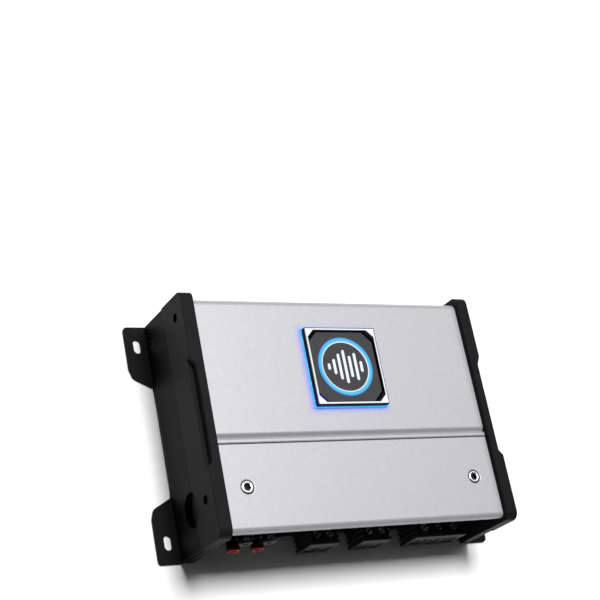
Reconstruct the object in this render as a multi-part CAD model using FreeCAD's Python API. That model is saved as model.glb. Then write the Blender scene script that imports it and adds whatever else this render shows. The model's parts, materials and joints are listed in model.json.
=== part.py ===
import FreeCAD, Part
import math
import os

# Car amplifier: a silver extruded aluminium body between two black end caps, a lift-off cover over the
# knobs and switches, phono sockets and plug-in terminal blocks under its front lip, and a steel mounting
# bracket on each end. Millimetres. X runs along the extrusion, the connectors face -Y, +Z is out of the
# cover, and Z = 0 is the surface that the mounting tabs stand on.

# ---- driving dimensions ----
BODY_END = 96.9  # half length of the extrusion
INNER_END = 96.7  # half length of the cover, deck, panel and bottom plate
CAP_OUT = 105.0  # outer face of an end cap
CAP_HALF = 76.5  # an end cap reaches this far along +Y and -Y
CAP_BASE = 2.5
CAP_TOP = 59.2
CAP_CORNER = 5.4
COVER_TOP = 55.6  # silver top surface
COVER_SPLIT = -20.0  # the fixed top ends here and the lift-off cover begins
WALL_IN, WALL_OUT, FIN_OUT = 63.0, 67.0, 73.0  # rear wall of the extrusion and its fins
FLANGE_TOP = 30.0  # bracket flange on the end cap
FLANGE_IN, FLANGE_OUT = 102.5, 104.5
TAB_OUT = 119.0
TAB_THICKNESS = 2.0
SLOT_X, SLOT_Y, SLOT_WIDTH, SLOT_LENGTH = 111.2, 63.0, 5.0, 9.3

FLOOR_BASE, FLOOR_TOP = 3.0, 5.0  # bottom plate
PANEL_OUT, PANEL_IN = -64.0, -62.5  # connector panel
PANEL_TOP = 52.3
DECK_BASE, DECK_TOP = 44.0, 45.5
BOARD_BASE, BOARD_TOP = 8.0, 9.6
CONTROL_BASE, CONTROL_TOP = 38.0, 39.6

CAP_SCREWS = ((62.8, 47.5), (-51.0, 47.6))  # (y, z) on each end cap
BRACKET_SCREWS = ((62.0, 8.5), (-51.0, 9.5))
COVER_SCREW_X, COVER_SCREW_Y = 80.8, -46.9
SCOOP_Y, SCOOP_Z, SCOOP_RADIUS = -51.0, 27.0, 10.5

BADGE_X, BADGE_Y = 1.0, 27.0
GUIDE_HALF, GUIDE_TOP = 26.4, 56.7  # light guide
BEZEL_HALF, BEZEL_TOP = 25.8, 59.9
WINDOW_HALF, WINDOW_CLIP = 23.2, 5.4
EMBLEM_BASE, EMBLEM_TOP = 58.0, 58.3
PEG_SPOTS = [(BADGE_X + a * 20.0, BADGE_Y + b * 20.0) for a in (-1, 1) for b in (-1, 1)]
PEG_RADIUS = 1.5

JACK_X = (-79.3, -63.3)
JACK_Z = (22.0, 38.0)  # red row, black row
JACKS = [(x, z) for z in JACK_Z for x in JACK_X]
JACK_RADIUS, TAIL_RADIUS, SHELL_BORE = 4.15, 3.9, 3.5
JACK_END, SHELL_END, SHELL_TAIL = -76.3, -75.1, -50.0
CONTACT_RADIUS, CONTACT_BORE = 1.95, 1.6

PLUG_END, PLUG_FACE, NOSE_END = -76.3, -64.4, -53.5
PLUG_BASE, PLUG_TOP = 5.0, 25.6
NOSE_BASE, NOSE_TOP = 11.0, 24.5
PLUG_SCREW_Y = -69.4
ENTRY_BASE = 9.2  # lower edge of the wire entries
# Each pole: (offset along X, half width of the wire entry, its height, radius of the clamp screw head).
SPEAKER_POLES = [(-4.75, 3.5, 7.8, 2.55), (4.75, 3.5, 7.8, 2.55)]
POWER_POLES = [(-11.4, 4.4, 9.4, 3.1), (0.0, 3.5, 7.8, 2.3), (11.4, 4.4, 9.4, 3.1)]
TERMINALS = {
    "speaker_plug_1": {"x": -18.1, "width": 20.4, "poles": SPEAKER_POLES},
    "speaker_plug_2": {"x": 19.4, "width": 20.4, "poles": SPEAKER_POLES},
    "power_plug": {"x": 67.6, "width": 38.4, "poles": POWER_POLES},
}
PIN_BASE, PIN_TOP, PIN_HALF = 13.2, 14.8, 0.8
HEADER_BACK = -49.0

KNOB_X = {"gain": -42.0, "high_pass": -20.0, "low_pass": 2.0, "bass_boost": 24.0}
SLIDER_X = {"input_level": 42.0, "crossover": 54.0, "badge_light": 66.0}
SLIDER_REST = {"input_level": -1.8, "crossover": 0.0, "badge_light": -1.8}
CONTROL_Y = -43.0
KNOB_RADIUS, KNOB_TOP, SHAFT_RADIUS = 3.0, 51.2, 1.5
BODY_TOP = 43.6  # top of the controls' and the socket block's bodies, under the deck
LIGHT_X, LIGHT_Z = (-46.0, -40.0), 34.0  # status lights in the panel

M3_THREAD, M3_HEAD, M3_HEAD_HEIGHT = 1.45, 2.75, 2.1
M3_TAP, M3_CLEAR = 1.5, 1.7  # radii of a threaded and of a clearance hole
CAP_SCREW_THREAD, CAP_SCREW_TAP, CAP_SCREW_CLEAR = 1.75, 1.85, 1.95
CAP_SCREW_HEAD, CAP_SCREW_SEAT = 2.7, -100.5
CLAMP_SCREW_X, CLAMP_Z = (-66.0, -22.0, 22.0, 66.0), 25.0
CLAMP_FRONT, CLAMP_FACE, PAD_THICKNESS = 54.3, 58.3, 0.3
DECK_SCREW_Y = (-28.5, -59.6)
DECK_SCREW_X = ((-88.0, -30.0, 30.0, 88.0), (-46.0, 46.0))  # one row for each Y
DECK_SCREWS = [(x, y) for y, row in zip(DECK_SCREW_Y, DECK_SCREW_X) for x in row]
FLOOR_SCREW_X, FLOOR_SCREW_Y = (-80.0, -27.0, 27.0, 80.0), 57.0
PANEL_SCREW_X, PANEL_SCREW_Z = (-42.0, 39.0), 10.0
SPACER_SPOTS = ((-84, 50), (0, 50), (84, 50), (-88, -38), (0, -38), (88, -38))
PILLAR_SPOTS = ((-50, -54.5), (74, -54.5), (-50, -35.7), (74, -35.7))

TRANSFORMER = dict(x=46.0, y=8.0, base=11.3, inner=9.5, outer=19.0, height=15.0)
INDUCTORS = [dict(x=x, y=-8.0, base=11.0, inner=5.0, outer=10.5, height=8.0) for x in (-36.0, -4.0)]

AXES = {"x": FreeCAD.Vector(1, 0, 0), "y": FreeCAD.Vector(0, 1, 0), "z": FreeCAD.Vector(0, 0, 1)}


# ---- shape helpers ----
def point(axis, at, u, v):
    """The point (u, v) of the plane where axis = at; u and v are the other two axes in X, Y, Z order."""
    return FreeCAD.Vector(*{"x": (at, u, v), "y": (u, at, v), "z": (u, v, at)}[axis])


def extrude(corners, axis, low, high):
    """Prism on an outline of corners (u, v) or (u, v, r), where r rounds that corner."""
    flat = [FreeCAD.Vector(c[0], c[1], 0) for c in corners]
    radii = [c[2] if len(c) > 2 else 0 for c in corners]
    bends = []
    for i, corner in enumerate(flat):
        back = (flat[i - 1] - corner).normalize()
        ahead = (flat[(i + 1) % len(flat)] - corner).normalize()
        if radii[i] == 0:
            bends.append((corner, corner, corner))
            continue
        half = back.getAngle(ahead) / 2
        inward = (back + ahead).normalize()
        reach = radii[i] / math.tan(half)
        middle = corner + inward * (radii[i] / math.sin(half) - radii[i])
        bends.append((corner + back * reach, middle, corner + ahead * reach))
    edges = []
    for i, (start, middle, end) in enumerate(bends):
        before = bends[i - 1][2]
        a, b, m, e = (point(axis, low, p.x, p.y) for p in (before, start, middle, end))
        if (b - a).Length > 1e-6:
            edges.append(Part.LineSegment(a, b).toShape())
        if radii[i] > 0:
            edges.append(Part.Arc(b, m, e).toShape())
    solid = Part.Face(Part.Wire(edges)).extrude(AXES[axis] * (high - low))
    if solid.Volume < 0:
        solid.reverse()
    return solid


def block(x, y, z):
    size = (x[1] - x[0], y[1] - y[0], z[1] - z[0])
    return Part.makeBox(*size, FreeCAD.Vector(x[0], y[0], z[0]))


def rod(axis, low, high, u, v, radius):
    return Part.makeCylinder(radius, high - low, point(axis, low, u, v), AXES[axis])


def cone(axis, low, high, u, v, radius_low, radius_high):
    return Part.makeCone(radius_low, radius_high, high - low, point(axis, low, u, v), AXES[axis])


def hexagon(axis, low, high, u, v, across):
    """Six-sided prism, across its flats."""
    r = across / math.sqrt(3)
    turns = [math.radians(60 * k) for k in range(6)]
    return extrude([(u + r * math.cos(t), v + r * math.sin(t)) for t in turns], axis, low, high)


def square(axis, low, high, u, v, half, corner=0):
    """Square prism with its four corners rounded."""
    spots = [(-1, -1), (1, -1), (1, 1), (-1, 1)]
    return extrude([(u + a * half, v + b * half, corner) for a, b in spots], axis, low, high)


def octagon(axis, low, high, u, v, half, clip):
    """Square prism with its four corners clipped."""
    inner = half - clip
    spots = [(-half, -inner), (-inner, -half), (inner, -half), (half, -inner)]
    spots += [(-a, -b) for a, b in spots]
    return extrude([(u + a, v + b) for a, b in spots], axis, low, high)


def cut(shape, *tools):
    return shape.cut(list(tools))


def fuse(shape, *others):
    return shape.fuse(list(others)).removeSplitter()


def mirrored(shape):
    """The same piece for the +X end."""
    return shape.mirror(FreeCAD.Vector(0, 0, 0), AXES["x"])


def both_ends(shapes):
    return shapes + [mirrored(s) for s in shapes]


def pan_screw(axis, seat, tip, u, v):
    """M3 screw: the head stands on the seat, on the far side from the tip."""
    side = 1 if seat > tip else -1
    top = seat + side * M3_HEAD_HEIGHT
    socket_floor = top - side * 1.2
    head = rod(axis, min(seat, top), max(seat, top), u, v, M3_HEAD)
    shank = rod(axis, min(seat, tip), max(seat, tip), u, v, M3_THREAD)
    socket = hexagon(axis, min(top, socket_floor), max(top, socket_floor), u, v, 2.0)
    return cut(fuse(head, shank), socket)


def save(name, shapes):
    """One STEP file for a piece, or for a group of like pieces."""
    group = shapes if isinstance(shapes, list) else [shapes]
    solids = [solid for shape in group for solid in shape.Solids]
    for solid in solids:
        if not solid.isValid() or solid.Volume <= 0:
            raise ValueError(name + " holds a bad solid")
    whole = solids[0] if len(solids) == 1 else Part.makeCompound(solids)
    whole.exportStep("parts/" + name + ".step")


# ---- casing ----
def heatsink_body():
    """Extrusion: top plate, rear wall with fins, and a step down at the front that carries the deck."""
    web_in, web_out, foot_end, foot_base = -19.0, -22.0, -32.0, 42.0
    plate = COVER_TOP - 4.0  # underside of the top plate
    lip_base = 48.0  # the top fin hangs down to here
    boss_in, boss_low, boss_high = 58.5, 12.5, 43.5  # screw bosses inside the rear wall
    shelf_in, shelf_top = 54.0, 7.6  # shelf that the bottom plate is screwed to
    ledge, ledge_base, ledge_top = -26.0, 50.0, 52.4  # ledge under the edge of the cover
    section = [
        (COVER_SPLIT, COVER_TOP, 0.4), (FIN_OUT, COVER_TOP, 5.0),
        (FIN_OUT, lip_base, 0.8), (WALL_OUT, lip_base, 0.8),
        (WALL_OUT, FLOOR_BASE), (WALL_IN, FLOOR_BASE), (WALL_IN, FLOOR_TOP), (shelf_in, FLOOR_TOP),
        (shelf_in, shelf_top), (boss_in, shelf_top), (boss_in, boss_low), (WALL_IN, boss_low),
        (WALL_IN, boss_high), (boss_in, boss_high), (boss_in, plate),
        (web_in, plate), (web_in, foot_base), (foot_end, foot_base), (foot_end, DECK_BASE),
        (web_out, DECK_BASE), (web_out, ledge_base), (ledge, ledge_base), (ledge, ledge_top),
        (COVER_SPLIT, ledge_top),
    ]
    body = extrude(section, "x", -BODY_END, BODY_END)
    fin_pitch, fin_half, first_fin = 6.6, 1.0, 7.0
    fins = []
    for k in range(6):
        z = first_fin + fin_pitch * k
        rib = [(WALL_OUT - 0.5, z - fin_half), (FIN_OUT, z - fin_half, 0.8),
               (FIN_OUT, z + fin_half, 0.8), (WALL_OUT - 0.5, z + fin_half)]
        fins.append(extrude(rib, "x", -BODY_END, BODY_END))
    body = fuse(body, *fins)
    groove_y = -15.0
    grooves = [block((-BODY_END - 1, BODY_END + 1), (groove_y - half, groove_y + half),
                     (COVER_TOP - depth, COVER_TOP + 1)) for half, depth in ((1.5, 0.7), (0.8, 1.5))]
    light_window = block((BADGE_X - 18, BADGE_X + 18), (BADGE_Y - 5, BADGE_Y + 5), (plate - 1, COVER_TOP + 1))
    pegs = [rod("z", plate - 1, COVER_TOP + 1, x, y, PEG_RADIUS + 0.15) for x, y in PEG_SPOTS]
    threads = both_ends([rod("x", -BODY_END - 1, -84, y, z, CAP_SCREW_TAP)
                         for y, z in (CAP_SCREWS[0], BRACKET_SCREWS[0])])
    clamp_holes = [rod("y", WALL_IN - 1, 66.0, x, CLAMP_Z, M3_TAP) for x in CLAMP_SCREW_X]
    deck_holes = [rod("z", foot_base - 1, DECK_BASE + 1, x, DECK_SCREW_Y[0], M3_TAP) for x in DECK_SCREW_X[0]]
    floor_holes = [rod("z", FLOOR_TOP - 1, 7.0, x, FLOOR_SCREW_Y, M3_TAP) for x in FLOOR_SCREW_X]
    return cut(body, *grooves, light_window, *pegs, *threads, *clamp_holes, *deck_holes, *floor_holes)


def control_cover():
    """Lift-off cover with a rounded front lip and two countersunk screw holes."""
    back, front, lip_in = COVER_SPLIT - 0.6, -73.8, -71.2
    under, lip_end = COVER_TOP - 3.0, 50.2
    section = [(back, COVER_TOP, 0.4), (front, COVER_TOP, 3.2), (front, lip_end, 0.6), (lip_in, lip_end, 0.6),
               (lip_in, under, 1.9), (back, under)]
    cover = extrude(section, "x", -INNER_END, INNER_END)
    hole = 2.3
    holes = []
    for x in (-COVER_SCREW_X, COVER_SCREW_X):
        holes.append(rod("z", under - 1, COVER_TOP, x, COVER_SCREW_Y, hole))
        holes.append(cone("z", COVER_TOP - 2.4, COVER_TOP + 0.1, x, COVER_SCREW_Y, hole, 4.7))
    return cut(cover, *holes)


def cover_screws():
    """Countersunk M4 screws with a hexagon socket."""
    thread, head_radius = 1.95, 4.25
    rim_base, head_base = COVER_TOP - 0.25, COVER_TOP - 2.2
    screws = []
    for x in (-COVER_SCREW_X, COVER_SCREW_X):
        rim = rod("z", rim_base, COVER_TOP + 0.15, x, COVER_SCREW_Y, head_radius)
        head = cone("z", head_base, rim_base, x, COVER_SCREW_Y, thread, head_radius)
        shank = rod("z", 47.0, head_base, x, COVER_SCREW_Y, thread)
        socket = hexagon("z", COVER_TOP - 1.6, COVER_TOP + 1, x, COVER_SCREW_Y, 3.7)
        screws.append(cut(fuse(rim, head, shank), socket))
    return screws


def cover_standoffs():
    """Round pillars on the deck that the cover screws go into."""
    pillars = []
    for x in (-COVER_SCREW_X, COVER_SCREW_X):
        pillar = rod("z", DECK_TOP, COVER_TOP - 3.1, x, COVER_SCREW_Y, 3.5)
        pillars.append(cut(pillar, rod("z", DECK_TOP + 0.5, COVER_TOP, x, COVER_SCREW_Y, 2.25)))
    return pillars


def end_cap():
    """Cap on the -X end: step for the bracket flange, rabbet, scoop and screw holes."""
    profile = [(-CAP_HALF, CAP_BASE, 0.8), (CAP_HALF, CAP_BASE, 0.8),
               (CAP_HALF, CAP_TOP, CAP_CORNER), (-CAP_HALF, CAP_TOP, CAP_CORNER)]
    cap = extrude(profile, "x", -CAP_OUT, -BODY_END)
    rims = [e for e in cap.Edges if max(v.X for v in e.Vertexes) < -CAP_OUT + 0.01]
    cap = cap.makeFillet(0.6, rims)
    outside = -CAP_OUT - 1
    step = block((outside, -FLANGE_IN), (-CAP_HALF - 1, CAP_HALF + 1), (0, FLANGE_TOP + 1.0))
    rabbet_wall, rabbet_floor = -102.0, 54.0
    rabbet = extrude([(outside, -36.3), (rabbet_wall, -31.0), (rabbet_wall, 28.0), (outside, 36.3)],
                     "z", rabbet_floor, CAP_TOP + 1)
    scoop_low, scoop_high, scoop_wall = 16.0, 41.5, -99.4
    round_hole = rod("x", outside, -98.0, SCOOP_Y, SCOOP_Z, SCOOP_RADIUS)
    ramp = extrude([(outside, scoop_low), (scoop_wall, scoop_low), (outside, scoop_high)],
                   "y", SCOOP_Y - SCOOP_RADIUS - 1, SCOOP_Y + SCOOP_RADIUS + 1)
    tools = [step, rabbet, round_hole.common(ramp)]
    for y, z in CAP_SCREWS:
        tools.append(rod("x", outside, CAP_SCREW_SEAT, y, z, CAP_SCREW_HEAD + 0.2))
        tools.append(rod("x", CAP_SCREW_SEAT - 0.5, -BODY_END + 1, y, z, CAP_SCREW_CLEAR))
    tools += [rod("x", -CAP_OUT, -BODY_END + 1, y, z, CAP_SCREW_CLEAR) for y, z in BRACKET_SCREWS]
    return cut(cap, *tools)


def cap_screws():
    screws = []
    for y, z in CAP_SCREWS:
        head = rod("x", CAP_SCREW_SEAT - 2.9, CAP_SCREW_SEAT, y, z, CAP_SCREW_HEAD)
        shank = rod("x", CAP_SCREW_SEAT, -88.0, y, z, CAP_SCREW_THREAD)
        screws.append(cut(fuse(head, shank), hexagon("x", -104, -101.8, y, z, 2.5)))
    return both_ends(screws)


def mounting_bracket():
    """Steel angle on the -X end: an upright flange on the cap and two slotted tabs bent outwards."""
    end, tab_start, waist = 76.0, 34.2, 4.0  # between the tabs the lower edge rises to the waist
    upright = [(-end, 0.0), (-tab_start, 0.0), (-29.2, waist, 2.0), (24.2, waist, 2.0),
               (tab_start, 0.0), (end, 0.0), (end, FLANGE_TOP, 1.0), (-end, FLANGE_TOP, 1.0)]
    flange = extrude(upright, "x", -FLANGE_OUT, -FLANGE_IN)
    tabs, slots = [], []
    for side in (-1, 1):
        shape = [(-FLANGE_IN, side * tab_start), (-117.1, side * 42.0, 5.0), (-TAB_OUT, side * 48.0, 3.0),
                 (-TAB_OUT, side * end, 2.4), (-FLANGE_IN, side * end)]
        tabs.append(extrude(shape, "z", 0.0, TAB_THICKNESS))
        low, high = side * SLOT_Y - SLOT_LENGTH / 2, side * SLOT_Y + SLOT_LENGTH / 2
        left, right = -SLOT_X - SLOT_WIDTH / 2, -SLOT_X + SLOT_WIDTH / 2
        radius = SLOT_WIDTH / 2 - 0.001
        slots.append(extrude([(left, low, radius), (right, low, radius), (right, high, radius),
                              (left, high, radius)], "z", -1, TAB_THICKNESS + 1))
    angle = fuse(flange, *tabs)
    outer_bend = [e for e in angle.Edges
                  if all(abs(v.X + FLANGE_IN) < 0.01 and abs(v.Z) < 0.01 for v in e.Vertexes)]
    angle = angle.makeFillet(1.6, outer_bend)
    sink = 1.1  # depth of the countersink
    tools = slots + [rod("x", -CAP_OUT - 1, -CAP_OUT + 4, SCOOP_Y, SCOOP_Z, SCOOP_RADIUS)]
    for y, z in BRACKET_SCREWS:
        tools.append(rod("x", -FLANGE_OUT - 1, -FLANGE_IN + 1, y, z, CAP_SCREW_CLEAR))
        tools.append(cone("x", -FLANGE_OUT - 0.01, -FLANGE_OUT + sink, y, z, 3.0, CAP_SCREW_CLEAR))
    return cut(angle, *tools)


def bracket_screws():
    """Black countersunk screws through the bracket flange and the cap."""
    screws = []
    neck = -FLANGE_OUT + 1.1
    for y, z in BRACKET_SCREWS:
        head = cone("x", -FLANGE_OUT, neck, y, z, 2.85, CAP_SCREW_THREAD)
        shank = rod("x", neck, -93.0, y, z, CAP_SCREW_THREAD)
        screws.append(cut(fuse(head, shank), hexagon("x", -CAP_OUT, -FLANGE_OUT + 1.3, y, z, 2.2)))
    return both_ends(screws)


def bottom_plate():
    """Sheet floor with two front ears for the panel and one ear at each end for a bracket screw."""
    ear_top, ear_in = 15.0, INNER_END - 3.0
    floor = block((-INNER_END, INNER_END), (PANEL_IN, WALL_IN - 0.1), (FLOOR_BASE, FLOOR_TOP))
    front_ears = [block((x - 5, x + 5), (PANEL_IN, PANEL_IN + 1.5), (FLOOR_BASE, ear_top))
                  for x in PANEL_SCREW_X]
    end_ear = block((-INNER_END, -ear_in), (-58, -44), (FLOOR_BASE, ear_top))
    plate = fuse(floor, *front_ears, end_ear, mirrored(end_ear))
    y, z = BRACKET_SCREWS[1]
    thread = rod("x", -BODY_END - 1, -ear_in + 1, y, z, CAP_SCREW_TAP)
    floor_holes = [rod("z", FLOOR_BASE - 1, FLOOR_TOP + 1, x, FLOOR_SCREW_Y, M3_CLEAR) for x in FLOOR_SCREW_X]
    panel_holes = [rod("y", PANEL_IN - 1, PANEL_IN + 3, x, PANEL_SCREW_Z, M3_TAP) for x in PANEL_SCREW_X]
    half, vent_front, vent_back, round_end = 2.0, -30.0, 10.0, 1.9
    vents = [extrude([(x - half, vent_front, round_end), (x + half, vent_front, round_end),
                      (x + half, vent_back, round_end), (x - half, vent_back, round_end)],
                     "z", FLOOR_BASE - 1, FLOOR_TOP + 1) for x in range(-48, 49, 12)]
    return cut(plate, thread, mirrored(thread), *floor_holes, *panel_holes, *vents)


def case_screws():
    """M3 screws of the bottom plate and of the connector panel."""
    floor = [pan_screw("z", FLOOR_BASE, 6.8, x, FLOOR_SCREW_Y) for x in FLOOR_SCREW_X]
    panel = [pan_screw("y", PANEL_OUT, -60.0, x, PANEL_SCREW_Z) for x in PANEL_SCREW_X]
    return floor + panel


def connector_panel():
    """Folded sheet: upright face with the socket and plug openings, and a top flange under the deck."""
    face = block((-INNER_END, INNER_END), (PANEL_OUT, PANEL_IN), (FLOOR_BASE, PANEL_TOP))
    flange = block((-53, 53), (PANEL_IN, -57.0), (42.5, DECK_BASE))
    tools = [rod("y", PANEL_OUT - 1, PANEL_IN + 1, x, z, JACK_RADIUS + 0.25) for x in JACK_X for z in JACK_Z]
    gap = 0.4
    for terminal in TERMINALS.values():
        x, half = terminal["x"], nose_half(terminal) + gap
        tools.append(block((x - half, x + half), (PANEL_OUT - 1, PANEL_IN + 1), (NOSE_BASE - gap, NOSE_TOP + gap)))
    tools += [rod("y", PANEL_OUT - 1, PANEL_IN + 1, x, PANEL_SCREW_Z, M3_CLEAR) for x in PANEL_SCREW_X]
    tools += [rod("y", PANEL_OUT - 1, PANEL_IN + 1, x, LIGHT_Z, 1.6) for x in LIGHT_X]
    tools += [rod("z", 42, DECK_BASE + 1, x, DECK_SCREW_Y[1], M3_TAP) for x in DECK_SCREW_X[1]]
    return cut(fuse(face, flange), *tools)


def control_deck():
    """Plate under the cover with a rail at each end; the knobs and switch levers stand up through it."""
    rail_in, rail_top = 84.6, 52.3
    under, over = DECK_BASE - 1, DECK_TOP + 1
    plate = block((-INNER_END, INNER_END), (PANEL_IN + 0.1, -22.2), (DECK_BASE, DECK_TOP))
    rail = block((-INNER_END, -rail_in), (-58.0, -34.0), (DECK_BASE, rail_top))
    deck = fuse(plate, rail, mirrored(rail))
    y, z = CAP_SCREWS[1]
    thread = rod("x", -BODY_END - 1, -86.0, y, z, CAP_SCREW_TAP)
    tools = [thread, mirrored(thread)]
    tools += [rod("z", under, over, x, CONTROL_Y, KNOB_RADIUS + 0.4) for x in KNOB_X.values()]
    tools += [block((x - 4.2, x + 4.2), (CONTROL_Y - 1.6, CONTROL_Y + 1.6), (under, over))
              for x in SLIDER_X.values()]
    tools += [rod("z", under, over, x, screw_y, M3_CLEAR) for x, screw_y in DECK_SCREWS]
    return cut(deck, *tools)


def deck_screws():
    return [pan_screw("z", DECK_TOP, 42.3, x, y) for x, y in DECK_SCREWS]


# ---- badge ----
def badge_light_guide():
    """Clear plate that glows at its edges, with four pegs through the top of the body."""
    plate = square("z", COVER_TOP, GUIDE_TOP, BADGE_X, BADGE_Y, GUIDE_HALF, 1.0)
    pegs = [rod("z", 48.8, COVER_TOP + 0.5, x, y, PEG_RADIUS) for x, y in PEG_SPOTS]
    return fuse(plate, *pegs)


def badge_bezel():
    """Square frame with an eight-sided window."""
    frame = square("z", GUIDE_TOP, BEZEL_TOP, BADGE_X, BADGE_Y, BEZEL_HALF, 0.8)
    return cut(frame, octagon("z", GUIDE_TOP - 1, BEZEL_TOP + 1, BADGE_X, BADGE_Y, WINDOW_HALF, WINDOW_CLIP))


def badge_face():
    return octagon("z", GUIDE_TOP, EMBLEM_BASE, BADGE_X, BADGE_Y, WINDOW_HALF - 0.1, WINDOW_CLIP)


def badge_emblem():
    """Ring with seven level bars inside it."""
    outer, inner, bar_pitch, bar_half, bar_corner = 19.6, 16.2, 3.9, 0.9, 0.8
    ring = cut(rod("z", EMBLEM_BASE, EMBLEM_TOP, BADGE_X, BADGE_Y, outer),
               rod("z", EMBLEM_BASE - 1, EMBLEM_TOP + 1, BADGE_X, BADGE_Y, inner))
    bars = []
    for k, reach in enumerate((2.0, 5.0, 8.5, 11.0, 7.0, 9.0, 3.5)):
        left, right = (BADGE_X + bar_pitch * (k - 3) + side * bar_half for side in (-1, 1))
        low, high = BADGE_Y - reach, BADGE_Y + reach
        bars.append(extrude([(left, low, bar_corner), (right, low, bar_corner), (right, high, bar_corner),
                             (left, high, bar_corner)], "z", EMBLEM_BASE, EMBLEM_TOP))
    return [ring] + bars


def badge_led_board():
    """Small board under the top plate with six lights in the window below the badge."""
    base, top, light_top = 50.0, 51.5, 53.4
    board = square("z", base, top, BADGE_X, BADGE_Y, 23.0, 1.0)
    holes = [rod("z", base - 1, top + 1, x, y, PEG_RADIUS + 0.1) for x, y in PEG_SPOTS]
    lights = [block((x - 1.75, x + 1.75), (BADGE_Y - 1.4, BADGE_Y + 1.4), (top, light_top))
              for x in (BADGE_X + 6.0 * (k - 2.5) for k in range(6))]
    return [cut(board, *holes)] + lights


# ---- main board and what stands on it ----
def main_board():
    board = block((-92, 92), (-61, 53.0), (BOARD_BASE, BOARD_TOP))
    notches = [block((x - 6, x + 6), (-62, -59), (BOARD_BASE - 1, BOARD_TOP + 1)) for x in PANEL_SCREW_X]
    holes = [rod("z", BOARD_BASE - 1, BOARD_TOP + 1, x, y, 1.6) for x, y in SPACER_SPOTS]
    return cut(board, *notches, *holes)


def board_spacers():
    """Round threaded spacers: six under the main board, four above the control board."""
    spans = [(FLOOR_TOP, BOARD_BASE, 2.75, SPACER_SPOTS), (CONTROL_TOP, DECK_BASE, 2.5, PILLAR_SPOTS)]
    return [cut(rod("z", low, high, x, y, radius), rod("z", low - 1, high + 1, x, y, M3_TAP))
            for low, high, radius, spots in spans for x, y in spots]


def board_screws():
    low = [pan_screw("z", BOARD_TOP, 5.3, x, y) for x, y in SPACER_SPOTS]
    high = [pan_screw("z", CONTROL_BASE, 43.6, x, y) for x, y in PILLAR_SPOTS]
    return low + high


def ring_core(x, y, base, inner, outer, height):
    return cut(rod("z", base, base + height, x, y, outer), rod("z", base - 1, base + height + 1, x, y, inner))


def ring_winding(x, y, base, inner, outer, height, wire, turns):
    """Turns of enamelled wire laid round a ring core, one closed loop each."""
    gap = 0.05
    low, high = base - gap, base + height + gap
    round_it = block((inner - gap - wire, outer + gap + wire), (-wire / 2, wire / 2), (low - wire, high + wire))
    loop = cut(round_it, block((inner - gap, outer + gap), (-wire, wire), (low, high)))
    loops = []
    for k in range(turns):
        turn = loop.copy()
        turn.rotate(FreeCAD.Vector(0, 0, 0), AXES["z"], 360 / turns * k)
        turn.translate(FreeCAD.Vector(x, y, 0))
        loops.append(turn)
    return loops


def supply_capacitors():
    """Cans standing on the board, each with a pressed groove near its foot."""
    radius, neck, groove_low, groove_high = 8.0, 7.4, 12.0, 13.2
    cans = []
    for x, y in ((-76, -8), (-76, 12), (-58, 2), (-30, 26), (-12, 26), (6, 26)):
        can = rod("z", BOARD_TOP, 36.0, x, y, radius)
        groove = cut(rod("z", groove_low, groove_high, x, y, radius + 1),
                     rod("z", groove_low - 0.1, groove_high + 0.1, x, y, neck))
        cans.append(cut(can, groove))
    return cans


def power_transistors():
    """Eight transistors against the rear wall, their leads formed down to the board."""
    pitch, low, high = 22.0, 15.0, 30.0
    lead_front, lead_back, lead, bend = 51.4, 60.6, 0.6, 13.2
    parts = []
    for k in range(8):
        x = pitch * (k - 3.5)
        body = block((x - 5, x + 5), (CLAMP_FACE, WALL_IN - PAD_THICKNESS), (low, high))
        leads = []
        for dx in (-2.54, 0, 2.54):
            wide = (x + dx - 0.4, x + dx + 0.4)
            leads.append(block(wide, (lead_back - lead, lead_back), (bend, low)))
            leads.append(block(wide, (lead_front, lead_back), (bend, bend + lead)))
            leads.append(block(wide, (lead_front, lead_front + lead), (BOARD_TOP, bend + lead)))
        parts.append(fuse(body, *leads))
    return parts


def thermal_pad():
    pad = block((-84, 84), (WALL_IN - PAD_THICKNESS, WALL_IN), (14.5, 31.0))
    return cut(pad, *[rod("y", WALL_IN - 1, WALL_IN + 1, x, CLAMP_Z, M3_CLEAR) for x in CLAMP_SCREW_X])


def transistor_clamp_bar():
    bar = block((-84, 84), (CLAMP_FRONT, CLAMP_FACE), (CLAMP_Z - 4, CLAMP_Z + 4))
    return cut(bar, *[rod("y", CLAMP_FRONT - 1, CLAMP_FACE + 1, x, CLAMP_Z, M3_CLEAR) for x in CLAMP_SCREW_X])


def clamp_bar_screws():
    return [pan_screw("y", CLAMP_FRONT, 65.6, x, CLAMP_Z) for x in CLAMP_SCREW_X]


# ---- controls ----
def control_board():
    board = block((-53, 77), (-58.5, -33.0), (CONTROL_BASE, CONTROL_TOP))
    return cut(board, *[rod("z", CONTROL_BASE - 1, CONTROL_TOP + 1, x, y, 1.6) for x, y in PILLAR_SPOTS])


def control_pots():
    """Bodies of the four rotary controls."""
    bodies = []
    for x in KNOB_X.values():
        body = block((x - 4.9, x + 4.9), (CONTROL_Y - 5.5, CONTROL_Y + 5.5), (CONTROL_TOP, BODY_TOP))
        bodies.append(cut(body, rod("z", 40.4, BODY_TOP + 1, x, CONTROL_Y, SHAFT_RADIUS + 0.05)))
    return bodies


def control_knob(x):
    """Knob and its shaft, with a screwdriver slot and a pointer notch."""
    shaft = rod("z", 40.6, DECK_BASE, x, CONTROL_Y, SHAFT_RADIUS)
    head = rod("z", DECK_BASE, KNOB_TOP, x, CONTROL_Y, KNOB_RADIUS)
    slot = block((x - 0.5, x + 0.5), (CONTROL_Y - 3.5, CONTROL_Y + 3.5), (KNOB_TOP - 1.2, KNOB_TOP + 1))
    pointer = block((x - 0.9, x + 0.9), (CONTROL_Y + 1.6, CONTROL_Y + 3.5), (KNOB_TOP - 0.7, KNOB_TOP + 1))
    return cut(fuse(shaft, head), slot, pointer)


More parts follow.
